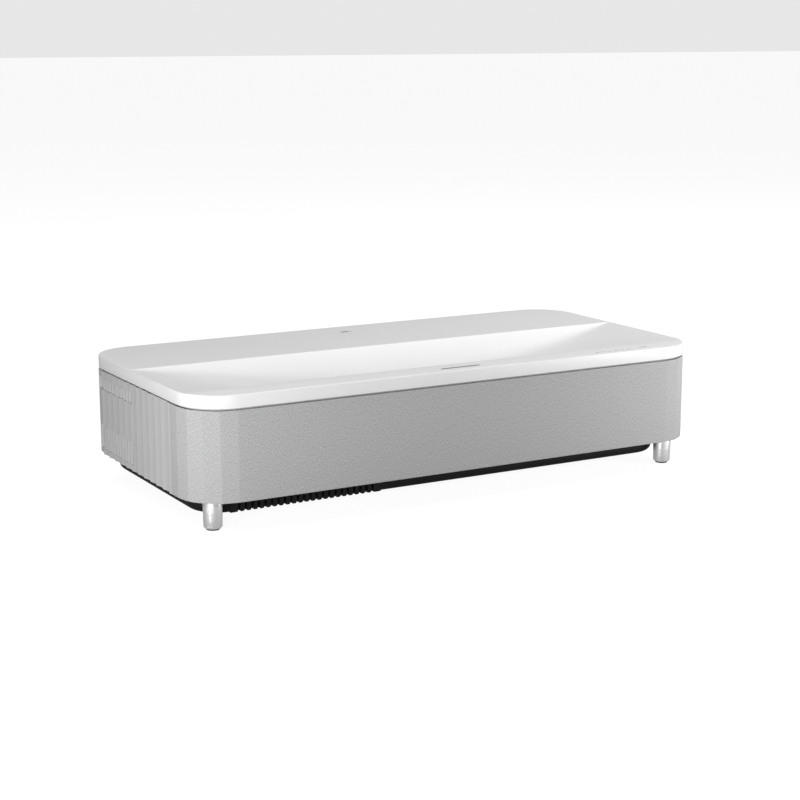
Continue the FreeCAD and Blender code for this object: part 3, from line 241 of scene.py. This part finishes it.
slotMaterials = {
    "white_shell": whiteShell, "grille_cloth": grilleCloth, "side_shell": sideShellPaintedShade,
    "black_moulding": mattBlack, "black_gloss": glossBlack, "window_glass": windowGlass,
    "optical_glass": lensGlass, "mirror_face": mirrorFace, "foot_metal": footMetal,
    "alloy": castAlloy, "screw_steel": darkSteel, "socket_metal": plated,
    "rubber": softRubber, "filter_foam": fleece, "board_green": boardGreen,
    "copper": copperTone, "phosphor": phosphorCoat, "grey_mark": markGrey,
    "light_lens": lightLens, "cone_paper": conePaper, "key_plastic": keyGrey,
}
nodeSlots = {part["node"]: part["material_slot"] for part in frame["record"]["subparts"]}
for node, thing in frame["nodes"].items():
    thing.data.materials.clear()
    thing.data.materials.append(slotMaterials[nodeSlots[node]])
frame["nodes"]["reveal_band"].data.materials[0] = revealGrey
print("materials done")


# pieces
def addPiece(name, bm, material, body, replaced=(), smooth=25.0):
    mesh = bpy.data.meshes.new(name)
    bmesh.ops.recalc_face_normals(bm, faces=bm.faces)
    bm.to_mesh(mesh)
    bm.free()
    mesh.polygons.foreach_set("use_smooth", [True] * len(mesh.polygons))
    sharp = [e.use_edge_sharp for e in mesh.edges]  # creases given as sharp stay sharp
    mesh.set_sharp_from_angle(angle=math.radians(smooth))
    for edge, kept in zip(mesh.edges, sharp):
        if kept:
            edge.use_edge_sharp = True
    mesh.materials.append(material)
    piece = bpy.data.objects.new(name, mesh)
    bpy.context.scene.collection.objects.link(piece)
    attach(piece, body)
    if replaced:
        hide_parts(*replaced)
    return piece


def softenEdges(piece, width, angle):
    bevel = piece.modifiers.new("soften", "BEVEL")
    bevel.width = width
    bevel.segments = 2
    bevel.limit_method = "ANGLE"
    bevel.angle_limit = math.radians(angle)
    bevel.harden_normals = False


# top cover
def coverReach(y, edge):
    c = coverShape
    past = max(0.0, abs(y) - (halfDepth - c["radius"]))
    return halfWidth - c["radius"] + math.sqrt(max(0.0, (c["radius"] - edge) ** 2 - past ** 2))


def troughDepth(x, y):
    c = coverShape
    inX = max(0.0, coverReach(y, c["edge"]) - abs(x))
    inY = max(0.0, c["creaseY"] - y)
    flank = c["flankSlope"] * inX
    ramp = c["rampSlope"] * inY
    depth = min(flank, ramp)
    if inX > 0:
        valley = c["flankSlope"] / c["rampSlope"]
        offset = inY / inX - valley
        if abs(offset) < c["spread"]:
            rise = c["rampSlope"] * (offset + c["spread"]) ** 2 / (4 * c["spread"])
            depth = ramp - rise * inX
    seat = c["bezelDrop"] + c["bezelSlope"] * (y - c["bezelFront"])
    return max(0.0, min(depth, seat))


def ringNormal(x, y):
    c = coverShape
    coreX = max(-(halfWidth - c["radius"]), min(halfWidth - c["radius"], x))
    coreY = max(-(halfDepth - c["radius"]), min(halfDepth - c["radius"], y))
    return Vector((x - coreX, y - coreY, 0)).normalized()


def arcPoints(side, end, start, finish, steps):
    c = coverShape
    r = c["radius"] - c["edge"]
    centre = (side * (halfWidth - c["radius"]), end * (halfDepth - c["radius"]))
    angles = [start + (finish - start) * k / steps for k in range(steps + 1)]
    return [(centre[0] + r * math.cos(a), centre[1] + r * math.sin(a)) for a in angles]


def buildCover():
    c = coverShape
    bm = bmesh.new()
    run = c["bandRear"] - c["creaseY"]
    rows = [c["creaseY"] + run * (k / c["rows"]) ** 1.5 for k in range(c["rows"] + 1)]
    shares = [math.sin(quarter * (2 * j / c["columns"] - 1)) for j in range(c["columns"] + 1)]
    grid = []
    for y in rows:
        reach = coverReach(y, c["edge"])
        grid.append([bm.verts.new((s * reach, y, top - troughDepth(s * reach, y))) for s in shares])
    (wide, narrow), (near, far) = c["holeHalf"], c["holeY"]

    def overHole(x, y):
        t = (y - near) / (far - near)
        return 0 < t < 1 and abs(x) < wide + (narrow - wide) * t

    for i in range(c["rows"]):
        for j in range(c["columns"]):
            corners = [grid[i][j], grid[i][j + 1], grid[i + 1][j + 1], grid[i + 1][j]]
            middle = sum((v.co for v in corners), Vector()) / 4
            if not overHole(middle.x, middle.y):
                bm.faces.new(corners)
    lip = [grid[-1][0]] + [bm.verts.new((v.co.x, v.co.y, top)) for v in grid[-1][1:-1]] + [grid[-1][-1]]
    for j in range(c["columns"]):
        corners = [lip[j], lip[j + 1], grid[-1][j + 1], grid[-1][j]]
        bm.faces.new([v for k, v in enumerate(corners) if v not in corners[:k]])

    def vertsAt(points):
        return [bm.verts.new((x, y, top)) for x, y in points]

    inner = c["radius"] - c["edge"]
    lean = math.asin(min(1.0, (abs(c["bandRear"]) - (halfDepth - c["radius"])) / inner))
    deck = vertsAt(arcPoints(1, 1, 0, quarter, c["deckSteps"]))
    deck += vertsAt(arcPoints(-1, 1, quarter, 2 * quarter, c["deckSteps"]))
    band = vertsAt(arcPoints(-1, -1, 2 * quarter + lean, 3 * quarter, c["bandSteps"])[1:])
    band += vertsAt(arcPoints(1, -1, 3 * quarter, 4 * quarter - lean, c["bandSteps"])[:-1])
    bm.faces.new([grid[0][-1]] + deck + grid[0][0:1] + grid[0][1:-1])
    bm.faces.new([lip[0]] + band + [lip[-1]] + lip[-2:0:-1])
    ring = [grid[0][-1]] + deck + [row[0] for row in grid] + band + [row[-1] for row in grid[::-1][:-1]]
    profile = []  # out and down from the top, round the edge, down the rim and back up inside
    for k in range(1, c["edgeSteps"] + 1):
        a = quarter * k / c["edgeSteps"]
        profile.append((c["edge"] * math.sin(a), c["edge"] * (1 - math.cos(a))))
    lower, middle = c["rimEdge"], 0.3 * c["rimEdge"]
    profile += [(c["edge"], c["rim"] - lower), (c["edge"] - middle, c["rim"] - middle)]
    profile += [(c["edge"] - lower, c["rim"]), (c["edge"] - c["wall"], c["rim"])]
    profile += [(c["edge"] - c["wall"], c["rim"] - c["skirt"])]
    normals = [ringNormal(v.co.x, v.co.y) for v in ring]
    previous = ring
    for out, down in profile:
        moved = [v.co + n * out for v, n in zip(ring, normals)]
        current = [bm.verts.new((p.x, p.y, top - down)) for p in moved]
        for k in range(len(ring)):
            m = (k + 1) % len(ring)
            bm.faces.new([previous[k], previous[m], current[m], current[k]])
        previous = current
    for edge in bm.edges:
        ends = [v.co for v in edge.verts]
        if all(abs(p.y - c["creaseY"]) < tiny and abs(p.x) < halfWidth - c["edge"] for p in ends):
            edge.smooth = False
    return addPiece("topShell", bm, whiteShell, "body", ["top_cover"])


buildCover()
print("cover done")


# plan paths shared by the grille and the louvred panels
def cornerPoint(side, end, angle, inset=0.0):
    r = bodyShape["radius"] - inset
    x = side * (halfWidth - bodyShape["radius"]) + r * math.cos(angle)
    y = end * (halfDepth - bodyShape["radius"]) + r * math.sin(angle)
    return Vector((x, y))


def shellGrid(bm, outer, inner, levels, holes):
    columns, heights = len(outer), len(levels)
    skins = []
    for path in (outer, inner):
        skins.append([[bm.verts.new((p[0], p[1], z)) for z in levels] for p in path])

    def solid(i, k):
        return 0 <= i < columns - 1 and 0 <= k < heights - 1 and not holes(i, k)

    for i in range(columns - 1):
        for k in range(heights - 1):
            if not solid(i, k):
                continue
            a, b = skins
            bm.faces.new([a[i][k], a[i + 1][k], a[i + 1][k + 1], a[i][k + 1]])
            bm.faces.new([b[i][k], b[i][k + 1], b[i + 1][k + 1], b[i + 1][k]])
            sides = {(i - 1, k): (i, k, i, k + 1), (i + 1, k): (i + 1, k, i + 1, k + 1),
                     (i, k - 1): (i, k, i + 1, k), (i, k + 1): (i, k + 1, i + 1, k + 1)}
            for (ni, nk), (i0, k0, i1, k1) in sides.items():
                if not solid(ni, nk):
                    bm.faces.new([a[i0][k0], a[i1][k1], b[i1][k1], b[i0][k0]])


def addPrism(bm, points, z0, z1):
    rings = [[bm.verts.new((p[0], p[1], z)) for p in points] for z in (z0, z1)]
    count = len(points)
    bm.faces.new(rings[0][::-1])
    bm.faces.new(rings[1])
    for k in range(count):
        m = (k + 1) % count
        bm.faces.new([rings[0][k], rings[0][m], rings[1][m], rings[1][k]])


def box(bm, x, y, z):
    addPrism(bm, [(x[0], y[0]), (x[1], y[0]), (x[1], y[1]), (x[0], y[1])], z[0], z[1])


# grille cloth
clothShape = {
    "thickness": 1.1 * mm, "hem": 3 * mm, "roll": 1.0 * mm, "rollSteps": 3, "tuck": 0.25 * mm,
    "corner": 2.2 * mm, "cornerSteps": 3, "slack": 0.4 * mm, "support": 0.8 * mm,
    "seamGap": 0.2 * mm, "endShare": 0.02,
}


def roundedPath(points):
    c = clothShape
    steps, held = c["cornerSteps"], c["support"]
    path = [points[0]]
    for before, here, after in zip(points, points[1:], points[2:]):
        toBefore = (before - here).normalized()
        toAfter = (after - here).normalized()
        turn = math.pi - toBefore.angle(toAfter)
        reach = c["corner"] * math.tan(turn / 2) + c["slack"]
        a, b = here + toBefore * reach, here + toAfter * reach
        path.append(a + toBefore * held)  # holds the flat beside the corner
        for k in range(steps + 1):
            t = k / steps
            path.append(a * (1 - t) ** 2 + here * 2 * t * (1 - t) + b * t ** 2)
        path.append(b + toAfter * held)
    return path + [points[-1]]


def pathNormals(path):
    normals = []
    for k in range(len(path)):
        a, b = path[max(0, k - 1)], path[min(len(path) - 1, k + 1)]
        along = (b - a).normalized()
        normals.append(Vector((along.y, -along.x)))
    return normals


def buildCloth():
    c = clothShape
    facets = bodyShape["facets"]
    angles = [quarter * k / facets for k in range(facets + 1)]
    left = [cornerPoint(-1, -1, math.pi + a) for a in angles]
    right = [cornerPoint(1, -1, 1.5 * math.pi + a) for a in angles]
    ends = [Vector((x, bodyShape["seamY"] + c["seamGap"])) for x in (-halfWidth, halfWidth)]
    path = roundedPath([ends[0]] + left + right + [ends[1]])
    path.insert(1, path[0].lerp(path[1], c["endShare"]))  # keeps the shading flat up to the cut ends
    path.insert(-1, path[-1].lerp(path[-2], c["endShare"]))
    normals = pathNormals(path)
    run = [0.0]
    for a, b in zip(path, path[1:]):
        run.append(run[-1] + (b - a).length)
    profile = [(c["hem"] + c["roll"], c["tuck"])]  # in and up, from the lower hem to the upper one
    for k in range(c["rollSteps"] + 1):
        a = quarter * k / c["rollSteps"]
        profile.append((c["roll"] * (1 - math.sin(a)), c["roll"] * (1 - math.cos(a))))
    height = bodyTop - bodyBottom
    profile += [(inset, height - up) for inset, up in profile[::-1]]
    length = [0.0]
    for a, b in zip(profile, profile[1:]):
        length.append(length[-1] + math.dist(a, b))
    bm = bmesh.new()
    flat = bm.loops.layers.uv.new("cut")
    spots = {}
    columns = []
    for k, (p, n) in enumerate(zip(path, normals)):
        column = [bm.verts.new((p.x - n.x * i, p.y - n.y * i, bodyBottom + u)) for i, u in profile]
        for v, along in zip(column, length):
            spots[v] = (run[k], along)
        columns.append(column)
    for a, b in zip(columns, columns[1:]):
        for k in range(len(profile) - 1):
            face = bm.faces.new([a[k], b[k], b[k + 1], a[k + 1]])
            for loop in face.loops:
                loop[flat].uv = spots[loop.vert]
    cloth = addPiece("grilleCloth", bm, grilleCloth, "body", ["grille_fabric"], smooth=40.0)
    thicken = cloth.modifiers.new("thickness", "SOLIDIFY")
    thicken.thickness = c["thickness"]
    thicken.offset = -1


buildCloth()
print("cloth done")

# louvred side panels
louvreShape = {
    "ribs": 11, "step": 1.5 * mm, "sag": 0.9 * mm, "cornerBend": 0.4, "samples": 6,
    "gap": 0.4 * mm, "seamGap": 0.3 * mm, "depth": 4.6 * mm, "slant": (0.8 * mm, 3.0 * mm),
    "ventRib": 6, "ventFacets": 1, "upper": (117 * mm, 131 * mm), "lower": (42 * mm, 71 * mm),
    "blade": 1.4 * mm, "bladeSpan": (0.42, 0.88), "bladeDepth": (3.2 * mm, 1.6 * mm),
    "rooted": 0.1 * mm, "soften": 0.22 * mm,
}


def stationsOf(side):
    c = louvreShape
    start = bodyShape["seamY"] + bodyShape["trim"]
    cornerY = halfDepth - bodyShape["radius"]
    pitch = (cornerY - start) / c["ribs"]
    out = Vector((-1, 0))
    found = [(Vector((-halfWidth, start + pitch * k)), out) for k in range(c["ribs"])]
    facets = bodyShape["facets"]
    for k in range(facets + 1):
        angle = math.pi - quarter * k / facets
        found.append((cornerPoint(-1, 1, angle), Vector((math.cos(angle), math.sin(angle)))))
    return [(Vector((p.x * -side, p.y)), Vector((n.x * -side, n.y))) for p, n in found]


def ribDepth(t, bend):
    c = louvreShape
    return c["step"] * (1 - t) + c["sag"] * bend * 4 * t * (1 - t)


def panelPaths(side):
    c = louvreShape
    stations = stationsOf(side)
    seam = bodyShape["seamY"] + c["seamGap"]
    x = side * halfWidth
    slant = c["slant"]
    outer = [Vector((x - side * slant[0], seam)), Vector((x, seam + slant[1]))]
    outer.append(stations[0][0] - Vector((0, c["gap"])))
    inner = [Vector((x - side * c["depth"], p.y)) for p in outer]
    ribOf = [-1, -1]
    for index, ((p0, n0), (p1, n1)) in enumerate(zip(stations, stations[1:])):
        bend = c["cornerBend"] if (n0 - n1).length > tiny else 1.0
        for k in range(c["samples"] + 1):
            t = k / c["samples"]
            n = (n0 * (1 - t) + n1 * t).normalized()
            base = p0.lerp(p1, t)
            if k == 0:
                base = p0.lerp(p1, c["gap"] / (p1 - p0).length)
            outer.append(base - n * ribDepth(t, bend))
            inner.append(base - n * c["depth"])
            ribOf.append(index)
    return stations, outer, inner, ribOf


def buildPanel(side, name, node):
    c = louvreShape
    stations, outer, inner, ribOf = panelPaths(side)
    levels = [bodyBottom, *c["lower"], *c["upper"], bodyTop]
    lastRib = c["ribs"] + c["ventFacets"]

    def holes(i, k):
        return k in (1, 3) and c["ventRib"] <= ribOf[min(i + 1, len(ribOf) - 1)] < lastRib

    bm = bmesh.new()
    shellGrid(bm, outer, inner, levels, holes)
    vents = stations[c["ventRib"]:lastRib + 1]
    for z0, z1 in (c["lower"], c["upper"]):
        for (p0, n0), (p1, n1) in zip(vents, vents[1:]):
            n = (n0 + n1).normalized()
            for half in (0, 1):
                tNear, tFar = [(half + share) / 2 for share in c["bladeSpan"]]
                near = p0.lerp(p1, tNear) - n * c["bladeDepth"][0]
                far = p0.lerp(p1, tFar) - n * c["bladeDepth"][1]
                along = (far - near).normalized()
                back = Vector((-along.y, along.x)) * c["blade"]
                if back.dot(n) > 0:
                    back = -back
                addPrism(bm, [near, far, far + back, near + back], z0 - c["rooted"], z1 + c["rooted"])
    panel = addPiece(name, bm, sideShellPaintedShade, "body", [node], smooth=14.0)
    softenEdges(panel, c["soften"], 22.0)


buildPanel(-1, "leftLouvres", "left_side_panel")
buildPanel(1, "rightLouvres", "right_side_panel")
print("side panels done")

# fluted back
backShape = {
    "flutes": 31, "sag": 1.2 * mm, "depth": 4.6 * mm, "samples": 6, "gap": 0.3 * mm, "soften": 0.2 * mm,
    "slots": 14, "slotX": -250 * mm, "slotPitch": 12 * mm, "slotWidth": 5 * mm, "slotZ": (58 * mm, 108 * mm),
    "bayWall": 2.4 * mm, "keyFlat": 9 * mm, "keyHole": 6.1 * mm,
}


def buildBack():
    c = backShape
    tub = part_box("connector_bay")
    wall, flat, hole = c["bayWall"], c["keyFlat"], c["keyHole"]
    bay = (tub[0][0] + wall, tub[1][0] - wall, tub[0][2] + wall, tub[1][2] - wall)
    left = -(halfWidth - bodyShape["radius"]) + c["gap"]
    pitch = -2 * left / c["flutes"]
    xs = {round(left + pitch * k / c["samples"], 6) for k in range(c["flutes"] * c["samples"] + 1)}
    starts = [c["slotX"] + c["slotPitch"] * k for k in range(c["slots"])]
    slots = [(x, x + c["slotWidth"]) for x in starts]
    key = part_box("power_button")
    keyX, keyZ = (key[0][0] + key[1][0]) / 2, (key[0][2] + key[1][2]) / 2
    xs |= {round(v, 6) for pair in slots for v in pair} | {round(bay[0], 6), round(bay[1], 6)}
    xs = [x for x in xs if not keyX - flat < x < keyX + flat]
    xs = sorted(xs + [keyX - flat, keyX - hole, keyX + hole, keyX + flat])
    outer = []
    for x in xs:
        t = ((x - left) / pitch) % 1.0
        sag = 0.0 if abs(x - keyX) < flat + tiny else c["sag"] * 4 * t * (1 - t)  # flat round the key
        outer.append(Vector((x, halfDepth - sag)))
    inner = [Vector((x, halfDepth - c["depth"])) for x in xs]
    levels = sorted({bodyBottom, bodyTop, *bay[2:], *c["slotZ"], keyZ - hole, keyZ + hole})

    def holes(i, k):
        x, z = (xs[i] + xs[i + 1]) / 2, (levels[k] + levels[k + 1]) / 2
        if bay[0] < x < bay[1] and bay[2] < z < bay[3]:
            return True
        if abs(x - keyX) < hole and abs(z - keyZ) < hole:
            return True
        return c["slotZ"][0] < z < c["slotZ"][1] and any(a < x < b for a, b in slots)

    bm = bmesh.new()
    shellGrid(bm, outer, inner, levels, holes)
    panel = addPiece("rearFlutes", bm, sideShellPaintedShade, "body", ["rear_panel"], smooth=14.0)
    softenEdges(panel, c["soften"], 22.0)


buildBack()
print("back done")

# turned front feet
footShape = {
    "taper": 0.6 * mm, "chamfer": 1.3 * mm, "groove": 0.25 * mm, "grooveZ": 29.5 * mm, "segments": 96,
    "grip": 1.5 * mm, "shoulderGap": 0.5 * mm, "shoulderEdge": 0.4 * mm, "stem": 4.0 * mm,
}


def buildFoot(name, node, body):
    c = footShape
    lowCorner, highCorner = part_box(node)
    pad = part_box(node.replace("barrel", "pad"))
    radius = (highCorner[0] - lowCorner[0]) / 2
    x, y = (lowCorner[0] + highCorner[0]) / 2, (lowCorner[1] + highCorner[1]) / 2
    z0, shoulder = lowCorner[2], bodyBottom - c["shoulderGap"]
    base, cut0 = radius - c["taper"], c["chamfer"]
    profile = [(pad[1][0] - x - c["grip"], z0 + 0.3 * mm), (base - cut0 - 0.8 * mm, z0)]
    profile += [(base - cut0, z0 + 0.1 * mm), (base - 0.3 * mm, z0 + cut0), (base, z0 + cut0 + 0.6 * mm)]
    for dz, cut in ((-0.5, 0), (-0.3, 1), (0.3, 1), (0.5, 0)):
        z = c["grooveZ"] + dz * mm
        profile.append((base + c["taper"] * (z - z0) / (shoulder - z0) - cut * c["groove"], z))
    edge = c["shoulderEdge"]
    profile += [(radius, shoulder - edge), (radius - edge, shoulder)]
    profile += [(c["stem"], shoulder), (c["stem"], highCorner[2])]
    bm = bmesh.new()
    line = [bm.verts.new((x + r, y, z)) for r, z in profile]
    edges = [bm.edges.new(pair) for pair in zip(line, line[1:])]
    bmesh.ops.spin(bm, geom=line + edges, cent=(x, y, 0), axis=(0, 0, 1), angle=2 * math.pi,
                   steps=c["segments"], use_duplicate=False, use_merge=True)
    bmesh.ops.remove_doubles(bm, verts=bm.verts, dist=1e-6)
    addPiece(name, bm, footMetal, body, [node], smooth=35.0)


buildFoot("leftFoot", "left_foot_barrel", "left_front_foot")
buildFoot("rightFoot", "right_foot_barrel", "right_front_foot")

# comb of the filter drawer
combShape = {
    "pitch": 8.2 * mm, "slot": 2.9 * mm, "round": 2.6 * mm, "roundSteps": 5, "depth": 9 * mm,
    "edge": 2.5 * mm, "lip": 5 * mm, "margin": 8 * mm, "roof": 3 * mm, "wall": 3 * mm, "back": 2 * mm,
    "plate": 2.6 * mm, "railLength": 34 * mm, "rail": (2.9 * mm, 4.9 * mm),
}


def toothOutline(west, east, z0, roof):
    c = combShape
    r, steps = c["round"], c["roundSteps"]
    outline = []
    for x, start in ((west + r, 2 * quarter), (east - r, 3 * quarter)):
        for j in range(steps + 1):
            angle = start + quarter * j / steps
            outline.append((x + r * math.cos(angle), z0 + r * (1 + math.sin(angle))))
    return outline + [(east, roof), (west, roof)]


def addTooth(bm, outline, y0, z0):
    c = combShape
    rings = []
    for y, z in ((0, c["edge"]), (c["edge"] * 0.3, c["edge"] * 0.3), (c["edge"], 0), (c["depth"], 0)):
        rings.append([bm.verts.new((px, y0 + y, max(pz, z0 + z))) for px, pz in outline])
    bm.faces.new(rings[0][::-1])
    bm.faces.new(rings[-1])
    for p, q in zip(rings, rings[1:]):
        for j in range(len(outline)):
            m = (j + 1) % len(outline)
            bm.faces.new([p[j], p[m], q[m], q[j]])


def buildComb():
    c = combShape
    (x0, y0, z0), (x1, y1, z1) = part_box("filter_drawer")
    left, right, roof = x0 + c["lip"], x1 - c["lip"], z1 - c["roof"]
    count = int((right - left - c["margin"]) // c["pitch"])
    first = (left + right) / 2 - (count - 1) * c["pitch"] / 2
    bounds = [left] + [first + c["pitch"] * k for k in range(count)] + [right]
    bm = bmesh.new()
    for k, (a, b) in enumerate(zip(bounds, bounds[1:])):
        west = a + (c["slot"] / 2 if k else 0)
        east = b - (c["slot"] / 2 if k < count else 0)
        addTooth(bm, toothOutline(west, east, z0, roof), y0, z0)
    behind = y0 + c["depth"]
    box(bm, (left, right), (y0, behind), (roof, z1))
    box(bm, (left, right), (behind, behind + c["back"]), (z0 + c["edge"], z1))
    box(bm, (left, right), (behind, y1), (z0, z0 + c["plate"]))
    box(bm, (left, left + c["wall"]), (behind, y1), (z0, z1))
    box(bm, (right - c["wall"], right), (behind, y1), (z0, z1))
    box(bm, (left, right), (y1 - c["wall"], y1), (z0, z1))
    for edge in (x0, right):
        box(bm, (edge, edge + c["lip"]), (y1 - c["railLength"], y1), (z0 + c["rail"][0], z0 + c["rail"][1]))
    bmesh.ops.remove_doubles(bm, verts=bm.verts, dist=1e-7)
    addPiece("combDrawer", bm, mattBlack, "drawer", ["filter_drawer"], smooth=30.0)


buildComb()
print("feet and comb done")

# camera, floor and lights
viewing = {
    "azimuth": -29.61, "elevation": 12.01, "distance": 2.2219, "target": (0.0052, 0.0, 0.0885),
    "lens": 78.88,
}


def direction(azimuth, elevation):
    a, e = math.radians(azimuth), math.radians(elevation)
    return Vector((math.sin(a) * math.cos(e), -math.cos(a) * math.cos(e), math.sin(e)))


def addCamera():
    data = bpy.data.cameras.new("view")
    data.lens = viewing["lens"]
    data.sensor_width = 36.0
    data.dof.use_dof = False
    data.clip_end = 50.0
    camera = bpy.data.objects.new("view", data)
    out = direction(viewing["azimuth"], viewing["elevation"])
    camera.location = Vector(viewing["target"]) + out * viewing["distance"]
    camera.rotation_euler = (-out).to_track_quat("-Z", "Y").to_euler()
    bpy.context.scene.collection.objects.link(camera)
    bpy.context.scene.camera = camera


floorTone = {"bounce": 0.13, "glow": 0.94, "shade": 0.14, "mirrored": 0.36, "size": 30.0, "gap": 0.5 * mm}


def addFloor():
    bm = bmesh.new()
    bmesh.ops.create_grid(bm, x_segments=1, y_segments=1, size=floorTone["size"])
    mesh = bpy.data.meshes.new("floor")
    bm.to_mesh(mesh)
    bm.free()
    material, nodes, links, shader = newMaterial("paleFloor")
    shader.inputs["Base Color"].default_value = (*[floorTone["bounce"]] * 3, 1)
    shader.inputs["Roughness"].default_value = 1.0
    glow = addNode(nodes, "ShaderNodeEmission", Strength=floorTone["glow"])
    soft = addNode(nodes, "ShaderNodeBsdfDiffuse", Color=(*[floorTone["shade"]] * 3, 1))
    seen = nodes.new("ShaderNodeAddShader")
    links.new(glow.outputs["Emission"], seen.inputs[0])
    links.new(soft.outputs["BSDF"], seen.inputs[1])
    mix = nodes.new("ShaderNodeMixShader")
    rays = nodes.new("ShaderNodeLightPath")
    mirrored = addNode(nodes, "ShaderNodeMath", operation="MULTIPLY_ADD")
    mirrored.inputs[1].default_value = floorTone["mirrored"]
    links.new(rays.outputs["Is Glossy Ray"], mirrored.inputs[0])
    links.new(rays.outputs["Is Camera Ray"], mirrored.inputs[2])
    links.new(mirrored.outputs[0], mix.inputs["Fac"])
    links.new(shader.outputs["BSDF"], mix.inputs[1])
    links.new(seen.outputs["Shader"], mix.inputs[2])
    links.new(mix.outputs["Shader"], nodes["Material Output"].inputs["Surface"])
    mesh.materials.append(material)
    floor = bpy.data.objects.new("floor", mesh)
    floor.location.z = -floorTone["gap"]
    bpy.context.scene.collection.objects.link(floor)


def addLight(name, azimuth, elevation, distance, size, power):
    data = bpy.data.lights.new(name, "AREA")
    data.shape = "RECTANGLE"
    data.size, data.size_y = size
    data.energy = power
    light = bpy.data.objects.new(name, data)
    out = direction(azimuth, elevation)
    light.location = out * distance
    light.rotation_euler = (Vector((0, 0, 0.1)) - light.location).to_track_quat("-Z", "Y").to_euler()
    light.visible_camera = False
    bpy.context.scene.collection.objects.link(light)


def setWorld(fill, mirrored, seen):
    world = bpy.data.worlds.new("studio")
    world.use_nodes = True
    nodes, links = world.node_tree.nodes, world.node_tree.links
    soft = nodes["Background"]
    soft.inputs["Color"].default_value = (1, 1, 1, 1)
    soft.inputs["Strength"].default_value = fill
    bright = nodes.new("ShaderNodeBackground")
    bright.inputs["Strength"].default_value = seen
    glossy = nodes.new("ShaderNodeBackground")
    glossy.inputs["Strength"].default_value = mirrored
    rays = nodes.new("ShaderNodeLightPath")
    inner = nodes.new("ShaderNodeMixShader")
    links.new(rays.outputs["Is Glossy Ray"], inner.inputs["Fac"])
    links.new(soft.outputs["Background"], inner.inputs[1])
    links.new(glossy.outputs["Background"], inner.inputs[2])
    mix = nodes.new("ShaderNodeMixShader")
    links.new(rays.outputs["Is Camera Ray"], mix.inputs["Fac"])
    links.new(inner.outputs["Shader"], mix.inputs[1])
    links.new(bright.outputs["Background"], mix.inputs[2])
    links.new(mix.outputs["Shader"], nodes["World Output"].inputs["Surface"])
    bpy.context.scene.world = world


worldTone = {"fill": 0.024, "mirrored": 0.25, "seen": 1.0}
studioLights = {  # azimuth, elevation, distance, size, watts
    "overhead": (105, 60, 3.5, (2.0, 2.0), 89),
    "sideTop": (-110, 60, 3.5, (2.0, 2.0), 36),
    "leftStrip": (-50, 10, 1.14, (0.45, 0.26), 7.5),
    "farLeft": (-80, 4, 1.5, (0.4, 0.4), 2.3),
    "rightStrip": (46, 11, 0.9, (0.30, 0.24), 3.77),
}
addCamera()
addFloor()
setWorld(**worldTone)
for name, setting in studioLights.items():
    addLight(name, *setting)
bpy.context.scene.view_settings.view_transform = "Standard"
print("stage done")
